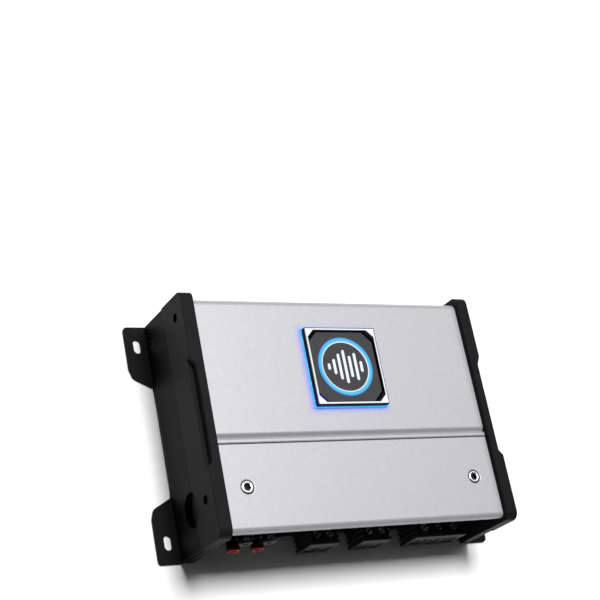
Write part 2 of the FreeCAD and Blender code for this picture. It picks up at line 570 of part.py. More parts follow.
def switch_bodies():
    bodies = []
    for x in SLIDER_X.values():
        body = block((x - 5.5, x + 5.5), (CONTROL_Y - 2.8, CONTROL_Y + 2.8), (CONTROL_TOP, BODY_TOP))
        track = block((x - 3.7, x + 3.7), (CONTROL_Y - 1.25, CONTROL_Y + 1.25), (41.0, BODY_TOP + 1))
        bodies.append(cut(body, track))
    return bodies


def switch_slider(x):
    """Lever of a slide switch, with three grip ridges on top."""
    top = 49.0
    lever = block((x - 1.5, x + 1.5), (CONTROL_Y - 1.1, CONTROL_Y + 1.1), (41.3, top))
    grooves = [block((x + dx - 0.25, x + dx + 0.25), (CONTROL_Y - 2, CONTROL_Y + 2), (top - 0.6, top + 1))
               for dx in (-0.75, 0.0, 0.75)]
    return cut(lever, *grooves)


def link_header():
    """Pin header between the two boards: two moulded strips and ten pins."""
    pitch, pin, height, y = 2.54, 0.32, 2.5, -35.0
    xs = [-43.4 + pitch * k for k in range(10)]
    pins = [block((x - pin, x + pin), (y - pin, y + pin), (BOARD_TOP, CONTROL_BASE)) for x in xs]
    strips = []
    for low in (BOARD_TOP, CONTROL_BASE - height):
        strip = block((xs[0] - pitch / 2, xs[-1] + pitch / 2), (y - pitch / 2, y + pitch / 2),
                      (low, low + height))
        strips.append(cut(strip, *pins))
    return strips + pins


def status_lights():
    """Two small lenses in the connector panel, each with a collar behind it."""
    end = PANEL_IN + 2.0
    return [fuse(rod("y", PANEL_OUT - 1.0, end, x, LIGHT_Z, 1.5), rod("y", PANEL_IN, end, x, LIGHT_Z, 2.1))
            for x in LIGHT_X]


# ---- phono sockets ----
def jack_block():
    body = block((-88.3, -54.3), (PANEL_IN, -46.0), (BOARD_TOP, BODY_TOP))
    return cut(body, *[rod("y", PANEL_OUT, SHELL_TAIL + 0.1, x, z, TAIL_RADIUS + 0.05) for x, z in JACKS])


def jack_shells():
    """Plated shells, each with a flange that stands on the panel."""
    shells = []
    for x, z in JACKS:
        barrel = rod("y", SHELL_END, PANEL_OUT - 0.8, x, z, JACK_RADIUS)
        flange = rod("y", PANEL_OUT - 0.8, PANEL_OUT, x, z, 5.4)
        tail = rod("y", PANEL_OUT, SHELL_TAIL, x, z, TAIL_RADIUS)
        bore = rod("y", SHELL_END - 1, SHELL_TAIL + 1, x, z, SHELL_BORE)
        shells.append(cut(fuse(barrel, flange, tail), bore))
    return shells


def jack_insulators(row_z):
    """Moulded insulators whose flange covers the end of the shell."""
    parts = []
    for x in JACK_X:
        flange = rod("y", JACK_END, SHELL_END, x, row_z, JACK_RADIUS)
        sleeve = rod("y", SHELL_END, SHELL_TAIL - 1, x, row_z, SHELL_BORE - 0.05)
        bore = rod("y", JACK_END - 1, SHELL_TAIL, x, row_z, CONTACT_RADIUS + 0.05)
        parts.append(cut(fuse(flange, sleeve), bore))
    return parts


def jack_contacts():
    front, back = JACK_END + 0.7, SHELL_TAIL - 1
    return [cut(rod("y", front, back, x, z, CONTACT_RADIUS),
                rod("y", front - 1, front + 17, x, z, CONTACT_BORE)) for x, z in JACKS]


# ---- terminal blocks ----
def nose_half(terminal):
    """Half width of the part of a plug that goes into its header."""
    return terminal["width"] / 2 - 1.8


def plug_housing(terminal):
    """Plug with finger ribs on its sides, wire entries in front and wells over its clamp screws."""
    x, half, outside = terminal["x"], terminal["width"] / 2, PLUG_END - 1
    profile = [(PLUG_END, PLUG_BASE, 0.6), (PLUG_FACE, PLUG_BASE, 0.3),
               (PLUG_FACE, PLUG_TOP, 0.3), (PLUG_END, PLUG_TOP, 0.9)]
    body = extrude(profile, "x", x - half, x + half)
    nose = block((x - nose_half(terminal), x + nose_half(terminal)), (PLUG_FACE - 1, NOSE_END),
                 (NOSE_BASE, NOSE_TOP))
    rib_depth, rib_half, lead_in = 1.1, 0.75, 0.5
    tools = []
    for edge in (x - half, x + half):
        for y in (-73.2, -70.0, -66.8):
            tools.append(block((edge - rib_depth, edge + rib_depth), (y - rib_half, y + rib_half),
                               (PLUG_BASE - 1, PLUG_TOP + 1)))
    for offset, entry, height, head in terminal["poles"]:
        px, entry_top = x + offset, ENTRY_BASE + height
        tools.append(block((px - entry, px + entry), (outside, PLUG_FACE - 0.2), (ENTRY_BASE, entry_top)))
        tools.append(block((px - entry - lead_in, px + entry + lead_in), (outside, PLUG_END + 0.8),
                           (ENTRY_BASE - lead_in, entry_top + lead_in)))
        tools.append(rod("z", entry_top - 1, PLUG_TOP + 1, px, PLUG_SCREW_Y, head + 0.3))
        tools.append(block((px - 1.8, px + 1.8), (PLUG_FACE - 0.6, NOSE_END + 1), (PIN_BASE - 0.6, PIN_TOP + 2)))
    return cut(fuse(body, nose), *tools)


def clamp_screws(terminal):
    """Slotted screws that press the wires down in the cages."""
    top, neck = 24.4, 21.8
    screws = []
    for offset, entry, height, head in terminal["poles"]:
        px = terminal["x"] + offset
        shank = rod("z", ENTRY_BASE + height - 1.6, neck, px, PLUG_SCREW_Y, 1.6)
        cap = rod("z", neck, top, px, PLUG_SCREW_Y, head)
        slot = block((px - 4, px + 4), (PLUG_SCREW_Y - 0.45, PLUG_SCREW_Y + 0.45), (top - 1.2, top + 1))
        slot.rotate(FreeCAD.Vector(px, PLUG_SCREW_Y, 0), AXES["z"], 35)
        screws.append(cut(fuse(shank, cap), slot))
    return screws


def clamp_cages(terminal):
    """Square metal tubes that hold the wires, each with a tongue that meets its pin."""
    wall, front, back = 0.7, PLUG_END + 1.1, PLUG_FACE - 0.4
    tongue_half, tongue_base = 1.4, PIN_TOP + 1
    cages = []
    for offset, entry, height, head in terminal["poles"]:
        px = terminal["x"] + offset
        half, low, high = entry - 0.1, ENTRY_BASE + 0.1, ENTRY_BASE + height - 0.1
        tube = block((px - half, px + half), (front, back), (low, high))
        bore = block((px - half + wall, px + half - wall), (front - 1, back + 1), (low + wall, high - wall))
        tongue = block((px - tongue_half, px + tongue_half), (back - 1.2, -56.0), (tongue_base, tongue_base + 0.5))
        post = block((px - tongue_half, px + tongue_half), (back - 0.8, back), (tongue_base, high))
        hole = rod("z", high - 2, high + 1, px, PLUG_SCREW_Y, 1.75)
        cages.append(cut(fuse(cut(tube, bore), tongue, post), hole))
    return cages


def terminal_headers():
    """Fixed halves of the terminals, on the main board behind the panel."""
    wall, gap = 1.2, 0.3
    parts = []
    for terminal in TERMINALS.values():
        x, half = terminal["x"], nose_half(terminal)
        shell = block((x - half - wall, x + half + wall), (PANEL_IN, HEADER_BACK), (BOARD_TOP, 26.2))
        socket = block((x - half - gap, x + half + gap), (PANEL_IN - 1, NOSE_END + 0.9),
                       (NOSE_BASE - gap, NOSE_TOP + gap))
        pins = [block((x + pole[0] - PIN_HALF, x + pole[0] + PIN_HALF), (-60, HEADER_BACK + 1), (PIN_BASE, PIN_TOP))
                for pole in terminal["poles"]]
        parts.append(cut(shell, socket, *pins))
    return parts


def header_pins():
    tail_back = HEADER_BACK + 2 * PIN_HALF
    pins = []
    for terminal in TERMINALS.values():
        for pole in terminal["poles"]:
            wide = (terminal["x"] + pole[0] - PIN_HALF, terminal["x"] + pole[0] + PIN_HALF)
            blade = block(wide, (-59.5, tail_back), (PIN_BASE, PIN_TOP))
            tail = block(wide, (HEADER_BACK, tail_back), (BOARD_TOP, PIN_TOP))
            pins.append(fuse(blade, tail))
    return pins


os.makedirs("parts", exist_ok=True)
cap, bracket = end_cap(), mounting_bracket()
pieces = {
    "heatsink_body": heatsink_body(),
    "control_cover": control_cover(),
    "cover_screws": cover_screws(),
    "cover_standoffs": cover_standoffs(),
    "end_cap_left": cap,
    "end_cap_right": mirrored(cap),
    "cap_screws": cap_screws(),
    "mounting_bracket_left": bracket,
    "mounting_bracket_right": mirrored(bracket),
    "bracket_screws": bracket_screws(),
    "bottom_plate": bottom_plate(),
    "case_screws": case_screws(),
    "connector_panel": connector_panel(),
    "control_deck": control_deck(),
    "deck_screws": deck_screws(),
    "badge_light_guide": badge_light_guide(),
    "badge_bezel": badge_bezel(),
    "badge_face": badge_face(),
    "badge_emblem": badge_emblem(),
    "badge_led_board": badge_led_board(),
    "main_board": main_board(),
    "board_spacers": board_spacers(),
    "board_screws": board_screws(),
    "transformer_core": ring_core(**TRANSFORMER),
    "transformer_winding": ring_winding(**TRANSFORMER, wire=1.6, turns=26),
    "inductor_cores": [ring_core(**ring) for ring in INDUCTORS],
    "inductor_windings": [turn for ring in INDUCTORS for turn in ring_winding(**ring, wire=1.3, turns=16)],
    "supply_capacitors": supply_capacitors(),
    "power_transistors": power_transistors(),
    "thermal_pad": thermal_pad(),
    "transistor_clamp_bar": transistor_clamp_bar(),
    "clamp_bar_screws": clamp_bar_screws(),
    "control_board": control_board(),
    "control_pots": control_pots(),
    "switch_bodies": switch_bodies(),
    "link_header": link_header(),
    "status_lights": status_lights(),
    "jack_block": jack_block(),
    "jack_shells": jack_shells(),
    "jack_insulators_red": jack_insulators(JACK_Z[0]),
    "jack_insulators_black": jack_insulators(JACK_Z[1]),
    "jack_contacts": jack_contacts(),
    "terminal_headers": terminal_headers(),
    "header_pins": header_pins(),
}
for name, x in KNOB_X.items():
    pieces[name + "_knob"] = control_knob(x)
for name, x in SLIDER_X.items():
    pieces[name + "_slider"] = switch_slider(x + SLIDER_REST[name])
for name, terminal in TERMINALS.items():
    pieces[name] = plug_housing(terminal)
    pieces[name + "_screws"] = clamp_screws(terminal)
    pieces[name + "_cages"] = clamp_cages(terminal)
for name, shapes in pieces.items():
    save(name, shapes)
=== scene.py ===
import json
import math

import bmesh
import bpy
from mathutils import Matrix, Vector

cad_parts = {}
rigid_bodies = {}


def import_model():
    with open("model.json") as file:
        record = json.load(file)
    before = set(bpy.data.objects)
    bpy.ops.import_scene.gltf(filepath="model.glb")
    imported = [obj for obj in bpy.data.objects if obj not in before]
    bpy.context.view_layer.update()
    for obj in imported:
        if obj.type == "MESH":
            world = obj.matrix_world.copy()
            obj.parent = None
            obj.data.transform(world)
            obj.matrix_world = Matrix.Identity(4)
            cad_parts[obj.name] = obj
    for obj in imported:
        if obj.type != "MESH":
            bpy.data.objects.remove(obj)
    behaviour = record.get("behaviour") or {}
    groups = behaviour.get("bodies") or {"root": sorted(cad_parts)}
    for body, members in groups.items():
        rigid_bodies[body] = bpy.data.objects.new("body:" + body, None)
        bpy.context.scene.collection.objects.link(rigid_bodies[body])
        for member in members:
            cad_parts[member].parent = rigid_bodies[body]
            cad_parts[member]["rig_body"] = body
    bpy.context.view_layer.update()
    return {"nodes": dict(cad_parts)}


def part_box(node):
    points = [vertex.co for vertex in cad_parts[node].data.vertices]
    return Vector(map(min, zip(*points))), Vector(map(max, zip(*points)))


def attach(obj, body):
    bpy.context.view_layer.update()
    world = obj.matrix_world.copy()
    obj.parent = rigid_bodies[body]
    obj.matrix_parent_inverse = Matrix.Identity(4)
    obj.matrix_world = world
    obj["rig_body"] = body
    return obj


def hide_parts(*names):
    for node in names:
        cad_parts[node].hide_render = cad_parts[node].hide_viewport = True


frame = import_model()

# ---- Extruded case ----
# The aluminium extrusion that carries everything: a top plate with a shallow groove, a finned rear wall and the
# foot that the control deck is screwed to. It is sawn to length, then powder-coated silver.
MM = 0.001


def span(*names):
    """Lowest and highest corner, in millimetres, of one or more CAD nodes."""
    corners = [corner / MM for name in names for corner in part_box(name)]
    return (Vector([min(c[i] for c in corners) for i in range(3)]),
            Vector([max(c[i] for c in corners) for i in range(3)]))


def linear(hex_colour):
    """An sRGB hex colour as the linear colour that a shader works in."""
    parts = [int(hex_colour[i:i + 2], 16) / 255 for i in (1, 3, 5)]
    return tuple(c / 12.92 if c <= 0.04045 else ((c + 0.055) / 1.055) ** 2.4 for c in parts) + (1.0,)


def add(tree, kind, inputs=None, **settings):
    """Adds a node with its own settings; each input is a value or another node's socket."""
    made = tree.nodes.new(kind)
    for name, value in settings.items():
        setattr(made, name, value)
    for name, value in (inputs or {}).items():
        if isinstance(value, bpy.types.NodeSocket):
            tree.links.new(value, made.inputs[name])
        else:
            made.inputs[name].default_value = value
    return made


def bare(name):
    """A material with no finish yet: itself, its nodes, and the object's own coordinates to lay a pattern out on."""
    surface = bpy.data.materials.new(name)
    surface.use_nodes = True
    surface.node_tree.nodes.clear()
    return surface, surface.node_tree, add(surface.node_tree, "ShaderNodeTexCoord").outputs["Object"]


def finished(surface, values):
    """Gives a material its shader, each of whose inputs is a value or a pattern's socket."""
    shader = add(surface.node_tree, "ShaderNodeBsdfPrincipled", values)
    add(surface.node_tree, "ShaderNodeOutputMaterial", {"Surface": shader.outputs[0]})
    return surface


def silver_powder_coat():
    """Silver powder coat with aluminium flake: pale satin, speckled, faintly mottled at 4 mm.

    Real flake is a tenth of the size of the speckle, which is drawn at 0.9 mm so that it shows. Beside the badge a
    painted glow stands in for the violet spill of the badge's edge light: violet colour and emission laid into the
    coat, gone within 5 mm."""
    surface, tree, place = bare("silver powder coat")
    speck = add(tree, "ShaderNodeTexNoise", {"Vector": place, "Scale": 1 / (0.9 * MM), "Detail": 2.0,
                                             "Roughness": 0.8}).outputs["Fac"]
    mottle = add(tree, "ShaderNodeTexNoise", {"Vector": place, "Scale": 1 / (4 * MM), "Detail": 2.0}).outputs["Fac"]
    uneven = add(tree, "ShaderNodeMath", {0: mottle, 1: 0.25, 2: speck}, operation="MULTIPLY_ADD").outputs[0]
    tone = add(tree, "ShaderNodeMapRange", {"Value": uneven, "From Min": 0.38, "From Max": 0.87}).outputs[0]
    gloss = add(tree, "ShaderNodeMapRange", {"Value": speck, "To Min": 0.34, "To Max": 0.5}).outputs[0]
    peel = add(tree, "ShaderNodeBump", {"Height": speck, "Strength": 0.3, "Distance": 0.03 * MM}).outputs[0]
    low, high = span("badge_light_guide")
    shift = Vector((0.7, 0.7, 0))  # the painted glow is centred a little to the near left
    centre = (low + high) / 2 * MM - shift * MM
    away = add(tree, "ShaderNodeVectorMath", {0: place, 1: centre}, operation="SUBTRACT").outputs[0]
    size = add(tree, "ShaderNodeVectorMath", {0: away}, operation="ABSOLUTE").outputs[0]
    past = add(tree, "ShaderNodeVectorMath", {0: size, 1: (high - low) / 2 * MM}, operation="SUBTRACT").outputs[0]
    outside = add(tree, "ShaderNodeVectorMath", {0: past, 1: (0, 0, 0)}, operation="MAXIMUM").outputs[0]
    reach = add(tree, "ShaderNodeVectorMath", {0: outside}, operation="LENGTH").outputs["Value"]
    fade = add(tree, "ShaderNodeMapRange", {"Value": reach, "From Max": 5 * MM, "To Min": 0.6,
                                            "To Max": 0.0}).outputs[0]
    painted_badge_glow = add(tree, "ShaderNodeMath", {0: fade, 1: 2.0}, operation="POWER").outputs[0]
    coat = add(tree, "ShaderNodeMix", {0: tone, 6: linear("#A5A5AA"), 7: linear("#B3B3B7")},
               data_type="RGBA").outputs[2]
    # The violet here is painted glow, the badge's light laid on the coat as colour and emission.
    colour = add(tree, "ShaderNodeMix", {0: painted_badge_glow, 6: coat, 7: linear("#4A52D0")}, data_type="RGBA").outputs[2]
    return finished(surface, {"Base Color": colour, "Roughness": gloss, "Normal": peel, "Emission Strength": painted_badge_glow,
                              "Metallic": 0.3, "Emission Color": linear("#2A34C8")})


AXES = {"x": Vector((1, 0, 0)), "y": Vector((0, 1, 0)), "z": Vector((0, 0, 1))}


def at(axis, along, u, v):
    """The point (u, v) of the plane where axis = along; u and v are the other two axes in X, Y, Z order."""
    return Vector({"x": (along, u, v), "y": (u, along, v), "z": (u, v, along)}[axis])


def prism(bm, corners, axis, low, high, surface_index=0):
    """A straight solid on an outline of corners (u, v), or (u, v, radius) where the corner is round."""
    others = set(bm.faces)
    verts = [bm.verts.new(at(axis, low, c[0], c[1])) for c in corners]
    bm.faces.new(verts)
    for vert, corner in zip(verts, corners):
        if len(corner) > 2:
            bmesh.ops.bevel(bm, geom=[vert], offset=corner[2], offset_type="OFFSET", affect="VERTICES",
                            segments=max(3, round(5 * corner[2] ** 0.5)), profile=0.5, material=-1)
    face = [f for f in bm.faces if f not in others]
    made = bmesh.ops.extrude_face_region(bm, geom=face, use_keep_orig=True)["geom"]
    bmesh.ops.translate(bm, vec=AXES[axis] * (high - low),
                        verts=[g for g in made if isinstance(g, bmesh.types.BMVert)])
    new = [f for f in bm.faces if f not in others]
    bmesh.ops.recalc_face_normals(bm, faces=new)
    for one in new:
        one.material_index = surface_index
    return new


def set_piece(bm, name, nodes, surfaces, body=None):
    """Makes a mesh in millimetres a piece that stands for CAD nodes and rides on their body."""
    bmesh.ops.scale(bm, vec=(MM, MM, MM), verts=bm.verts)
    mesh = bpy.data.meshes.new(name)
    bm.to_mesh(mesh)
    bm.free()
    mesh.shade_smooth()
    mesh.set_sharp_from_angle(angle=math.radians(38))
    for surface in surfaces:
        mesh.materials.append(surface)
    piece = bpy.data.objects.new(name, mesh)
    bpy.context.scene.collection.objects.link(piece)
    piece.modifiers.new("even shading", "WEIGHTED_NORMAL").keep_sharp = True
    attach(piece, body or frame["nodes"][nodes[0]]["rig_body"])
    if nodes:
        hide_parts(*nodes)


def extruded_case(surface):
    low, high = span("heatsink_body")
    top, base = high.z, low.z
    seam, groove_low, groove_end = -20.0, top - 1.7, -14.2
    wall_in, wall_out, fin_out, top_fin = 63.0, 67.0, high.y, 48.0
    fin_half, fin_pitch, first_fin = 1.0, 6.6, 7.0
    boss_in, foot_in, foot_low, foot_top = 58.5, 54.0, 5.0, 7.6
    boss_base, boss_top, plate_under = 12.5, 43.5, 51.6
    web_out, web_in, deck_low, deck_top = -22.0, -19.0, 42.0, 44.0
    ledge_end, ledge_low, ledge_top = -26.0, 50.0, 52.4
    outline = [(seam, top, 0.6), (-17.4, top, 0.35), (-17.1, groove_low, 0.25), (-16.6, groove_low, 0.3),
               (groove_end, top, 0.7), (fin_out, top, 5.0), (fin_out, top_fin, 0.8), (wall_out, top_fin, 0.8)]
    for k in reversed(range(6)):
        z = first_fin + fin_pitch * k
        outline += [(wall_out, z + fin_half, 0.5), (fin_out, z + fin_half, 0.8),
                    (fin_out, z - fin_half, 0.8), (wall_out, z - fin_half, 0.5)]
    outline += [(wall_out, base), (wall_in, base), (wall_in, foot_low), (foot_in, foot_low), (foot_in, foot_top),
                (boss_in, foot_top), (boss_in, boss_base), (wall_in, boss_base), (wall_in, boss_top),
                (boss_in, boss_top), (boss_in, plate_under), (web_in, plate_under), (web_in, deck_low),
                (low.y, deck_low), (low.y, deck_top), (web_out, deck_top), (web_out, ledge_low),
                (ledge_end, ledge_low), (ledge_end, ledge_top), (seam, ledge_top)]
    bm = bmesh.new()
    prism(bm, outline, "x", low.x, high.x)
    sawn = [e for e in bm.edges if all(abs(v.co.x) > high.x - 0.01 and v.co.z > top - 2 for v in e.verts)]
    bmesh.ops.bevel(bm, geom=sawn, offset=0.4, offset_type="OFFSET", affect="EDGES", segments=2, profile=0.5,
                    material=-1)
    set_piece(bm, "extruded_case", ["heatsink_body"], [surface])


silver = silver_powder_coat()
extruded_case(silver)


# ---- Bottom plate ----
# Pressed steel floor with vent slots, screwed up into the extrusion. It is coated black before assembly, and the
# coat draws back a little from the punched edges.
def eased_copy(node, width, segments=2):
    """A CAD node's own shape, its triangles joined up and its sharp edges rounded as a coat or a mould leaves them."""
    bm = bmesh.new()
    bm.from_mesh(frame["nodes"][node].data)
    bmesh.ops.scale(bm, vec=(1 / MM,) * 3, verts=bm.verts)
    bmesh.ops.remove_doubles(bm, verts=bm.verts, dist=0.03)
    bmesh.ops.dissolve_limit(bm, angle_limit=math.radians(0.5), verts=bm.verts, edges=bm.edges)
    sharp = [e for e in bm.edges if e.is_manifold and e.calc_face_angle() > math.radians(30)]
    bmesh.ops.bevel(bm, geom=sharp, offset=width, offset_type="OFFSET", affect="EDGES", segments=segments,
                    profile=0.5, material=-1, clamp_overlap=False)
    return bm


def eased_piece(name, node, surface, width):
    set_piece(eased_copy(node, width), name, [node], [surface])


def black_coated_sheet():
    """Thin black powder coat on steel sheet: low sheen, fine orange peel at about 1 mm."""
    surface, tree, place = bare("black coated sheet")
    peel = add(tree, "ShaderNodeTexNoise", {"Vector": place, "Scale": 1 / (1.1 * MM), "Detail": 2.0}).outputs["Fac"]
    bump = add(tree, "ShaderNodeBump", {"Height": peel, "Strength": 0.2, "Distance": 0.05 * MM}).outputs[0]
    gloss = add(tree, "ShaderNodeMapRange", {"Value": peel, "To Min": 0.42, "To Max": 0.58}).outputs[0]
    colour = add(tree, "ShaderNodeMix", {0: peel, 6: linear("#060607"), 7: linear("#0C0C0D")},
                 data_type="RGBA").outputs[2]
    return finished(surface, {"Base Color": colour, "Roughness": gloss, "Normal": bump, "Specular IOR Level": 0.06})


black_sheet = black_coated_sheet()
eased_piece("floor_plate", "bottom_plate", black_sheet, 0.2)


# ---- Circuit boards ----
# Fibreglass boards under green solder mask: the main board on threaded spacers, the control board under the deck
# and a small light board under the badge. Tracks show through the mask as paler lines.
def dress(surface, *nodes):
    """Gives CAD nodes, whose own shape is kept, their finish."""
    for node in nodes:
        mesh = frame["nodes"][node].data
        mesh.materials.clear()
        mesh.materials.append(surface)


def solder_mask():
    """Green solder mask over copper tracks 1.3 mm apart: glossy, with small tinned pads and a faint weave."""
    surface, tree, place = bare("solder mask")
    tracks = add(tree, "ShaderNodeTexBrick", {"Vector": place, "Scale": 0.25 / (1.3 * MM), "Mortar Size": 0.05,
                                              "Color1": linear("#0E4A2B"), "Color2": linear("#0A3F24"),
                                              "Mortar": linear("#1F6B3F")}, offset=0.37, squash=1.6)
    pads = add(tree, "ShaderNodeTexVoronoi", {"Vector": place, "Scale": 1 / (3.2 * MM), "Randomness": 0.6})
    pad = add(tree, "ShaderNodeMath", {0: pads.outputs["Distance"], 1: 0.13}, operation="LESS_THAN").outputs[0]
    colour = add(tree, "ShaderNodeMix", {"Factor": pad, 6: tracks.outputs["Color"], 7: linear("#C9CCCB")},
                 data_type="RGBA").outputs[2]
    return finished(surface, {"Base Color": colour, "Metallic": pad, "Roughness": 0.28, "Coat Weight": 0.3})


def bright_zinc():
    """Bright zinc plate on steel: cool pale metal, faintly clouded."""
    surface, tree, place = bare("bright zinc plate")
    cloud = add(tree, "ShaderNodeTexNoise", {"Vector": place, "Scale": 1 / (0.7 * MM), "Detail": 2.0}).outputs["Fac"]
    gloss = add(tree, "ShaderNodeMapRange", {"Value": cloud, "To Min": 0.22, "To Max": 0.4}).outputs[0]
    colour = add(tree, "ShaderNodeMix", {0: cloud, 6: linear("#A9AEB4"), 7: linear("#C9CDD2")},
                 data_type="RGBA").outputs[2]
    return finished(surface, {"Base Color": colour, "Roughness": gloss, "Metallic": 1.0})


def turned_brass():
    """Turned brass bar: warm yellow metal with fine tool rings across its length."""
    surface, tree, place = bare("turned brass")
    rings = add(tree, "ShaderNodeTexWave", {"Vector": place, "Scale": 1 / (1.2 * MM), "Distortion": 0.4},
                bands_direction="Z").outputs["Fac"]
    colour = add(tree, "ShaderNodeMix", {0: rings, 6: linear("#B98A3C"), 7: linear("#D9B060")},
                 data_type="RGBA").outputs[2]
    return finished(surface, {"Base Color": colour, "Metallic": 1.0, "Roughness": 0.28})


mask, zinc = solder_mask(), bright_zinc()
dress(mask, "main_board", "control_board", "badge_led_board")
dress(zinc, "board_screws")
dress(turned_brass(), "board_spacers")


# ---- Power supply and output filter ----
# The transformer and two chokes are pressed ferrite rings wound with enamelled wire; the capacitors are aluminium
# cans in shrunk black sleeves. All are soldered to the main board.
def pressed_ferrite():
    """Pressed and fired ferrite: dull charcoal with a sandy grain."""
    surface, tree, place = bare("pressed ferrite")
    grit = add(tree, "ShaderNodeTexNoise", {"Vector": place, "Scale": 1 / (0.3 * MM), "Detail": 4.0}).outputs["Fac"]
    bump = add(tree, "ShaderNodeBump", {"Height": grit, "Strength": 0.4, "Distance": 0.05 * MM}).outputs[0]
    colour = add(tree, "ShaderNodeMix", {0: grit, 6: linear("#262627"), 7: linear("#3A3A3C")},
                 data_type="RGBA").outputs[2]
    return finished(surface, {"Base Color": colour, "Normal": bump, "Roughness": 0.75})


def enamelled_copper():
    """Copper wire under clear amber enamel: red-brown metal with a wet coat."""
    surface, tree, place = bare("enamelled copper")
    drawn = add(tree, "ShaderNodeTexNoise", {"Vector": place, "Scale": 1 / (1.5 * MM), "Detail": 2.0}).outputs["Fac"]
    colour = add(tree, "ShaderNodeMix", {0: drawn, 6: linear("#8E4A24"), 7: linear("#B9683A")},
                 data_type="RGBA").outputs[2]
    return finished(surface, {"Base Color": colour, "Metallic": 1.0, "Roughness": 0.3, "Coat Weight": 0.8,
                              "Coat Roughness": 0.1})


def sleeved_can():
    """Capacitor can: satin black sleeve up to its shoulder, bare aluminium with a spun sheen on top."""
    surface, tree, place = bare("sleeved capacitor can")
    height = add(tree, "ShaderNodeSeparateXYZ", {"Vector": place}).outputs["Z"]
    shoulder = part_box("supply_capacitors")[1].z - 0.3 * MM
    top = add(tree, "ShaderNodeMath", {0: height, 1: shoulder}, operation="GREATER_THAN").outputs[0]
    film = add(tree, "ShaderNodeTexNoise", {"Vector": place, "Scale": 1 / (4 * MM), "Detail": 2.0}).outputs["Fac"]
    sleeve = add(tree, "ShaderNodeMix", {0: film, 6: linear("#14161C"), 7: linear("#1D2029")},
                 data_type="RGBA").outputs[2]
    colour = add(tree, "ShaderNodeMix", {0: top, 6: sleeve, 7: linear("#C8CACC")}, data_type="RGBA").outputs[2]
    return finished(surface, {"Base Color": colour, "Metallic": top, "Roughness": 0.35})


dress(pressed_ferrite(), "transformer_core", "inductor_cores")
dress(enamelled_copper(), "transformer_winding", "inductor_windings")
dress(sleeved_can(), "supply_capacitors")


# ---- Power transistors ----
# Eight moulded transistors pressed against the rear wall through a soft grey pad, by an aluminium bar that four
# zinc screws pull in.
def moulded_epoxy():
    """Filled epoxy moulding compound: matt black with a fine spark-eroded texture, drawn a little coarse."""
    surface, tree, place = bare("moulded epoxy")
    grain = add(tree, "ShaderNodeTexNoise", {"Vector": place, "Scale": 1 / (0.25 * MM), "Detail": 3.0}).outputs["Fac"]
    bump = add(tree, "ShaderNodeBump", {"Height": grain, "Strength": 0.3, "Distance": 0.03 * MM}).outputs[0]
    colour = add(tree, "ShaderNodeMix", {0: grain, 6: linear("#131314"), 7: linear("#1E1E20")},
                 data_type="RGBA").outputs[2]
    return finished(surface, {"Base Color": colour, "Normal": bump, "Roughness": 0.55, "Specular IOR Level": 0.35})


def silicone_pad():
    """Glass-filled silicone rubber: dull grey-pink with the glass cloth's 0.5 mm weave showing through."""
    surface, tree, place = bare("silicone pad")
    weave = add(tree, "ShaderNodeTexChecker", {"Vector": place, "Scale": 1 / (0.5 * MM)}).outputs["Fac"]
    colour = add(tree, "ShaderNodeMix", {0: weave, 6: linear("#8F8586"), 7: linear("#A09697")},
                 data_type="RGBA").outputs[2]
    return finished(surface, {"Base Color": colour, "Roughness": 0.8})


def mill_aluminium():
    """Mill-finish aluminium bar: grey metal with straight drawing lines along its length."""
    surface, tree, place = bare("mill-finish aluminium")
    drawn = add(tree, "ShaderNodeVectorMath", {0: place, 1: (0.03, 1.0, 1.0)}, operation="MULTIPLY").outputs[0]
    lines = add(tree, "ShaderNodeTexNoise", {"Vector": drawn, "Scale": 1 / (0.3 * MM), "Detail": 2.0}).outputs["Fac"]
    colour = add(tree, "ShaderNodeMix", {0: lines, 6: linear("#9C9FA3"), 7: linear("#BDC0C4")},
                 data_type="RGBA").outputs[2]
    return finished(surface, {"Base Color": colour, "Metallic": 1.0, "Roughness": 0.4})


epoxy = moulded_epoxy()
dress(epoxy, "power_transistors", "link_header", "control_pots")
dress(silicone_pad(), "thermal_pad")
dress(mill_aluminium(), "transistor_clamp_bar")
dress(zinc, "clamp_bar_screws", "switch_bodies")


# ---- Connector panel ----
# Folded black sheet behind the sockets and plugs, screwed to the floor's ears. Two small status lights look out
# through it.
def clear_lens():
    """Diffusing light lens: milky clear plastic, lit faintly from behind."""
    surface, tree, place = bare("diffusing lens")
    haze = add(tree, "ShaderNodeTexNoise", {"Vector": place, "Scale": 1 / (0.6 * MM)}).outputs["Fac"]
    colour = add(tree, "ShaderNodeMix", {0: haze, 6: linear("#9FA8A4"), 7: linear("#C3CCC8")},
                 data_type="RGBA").outputs[2]
    return finished(surface, {"Base Color": colour, "Roughness": 0.15, "Transmission Weight": 0.25,
                              "Emission Color": linear("#9FC4B4"), "Emission Strength": 0.08})


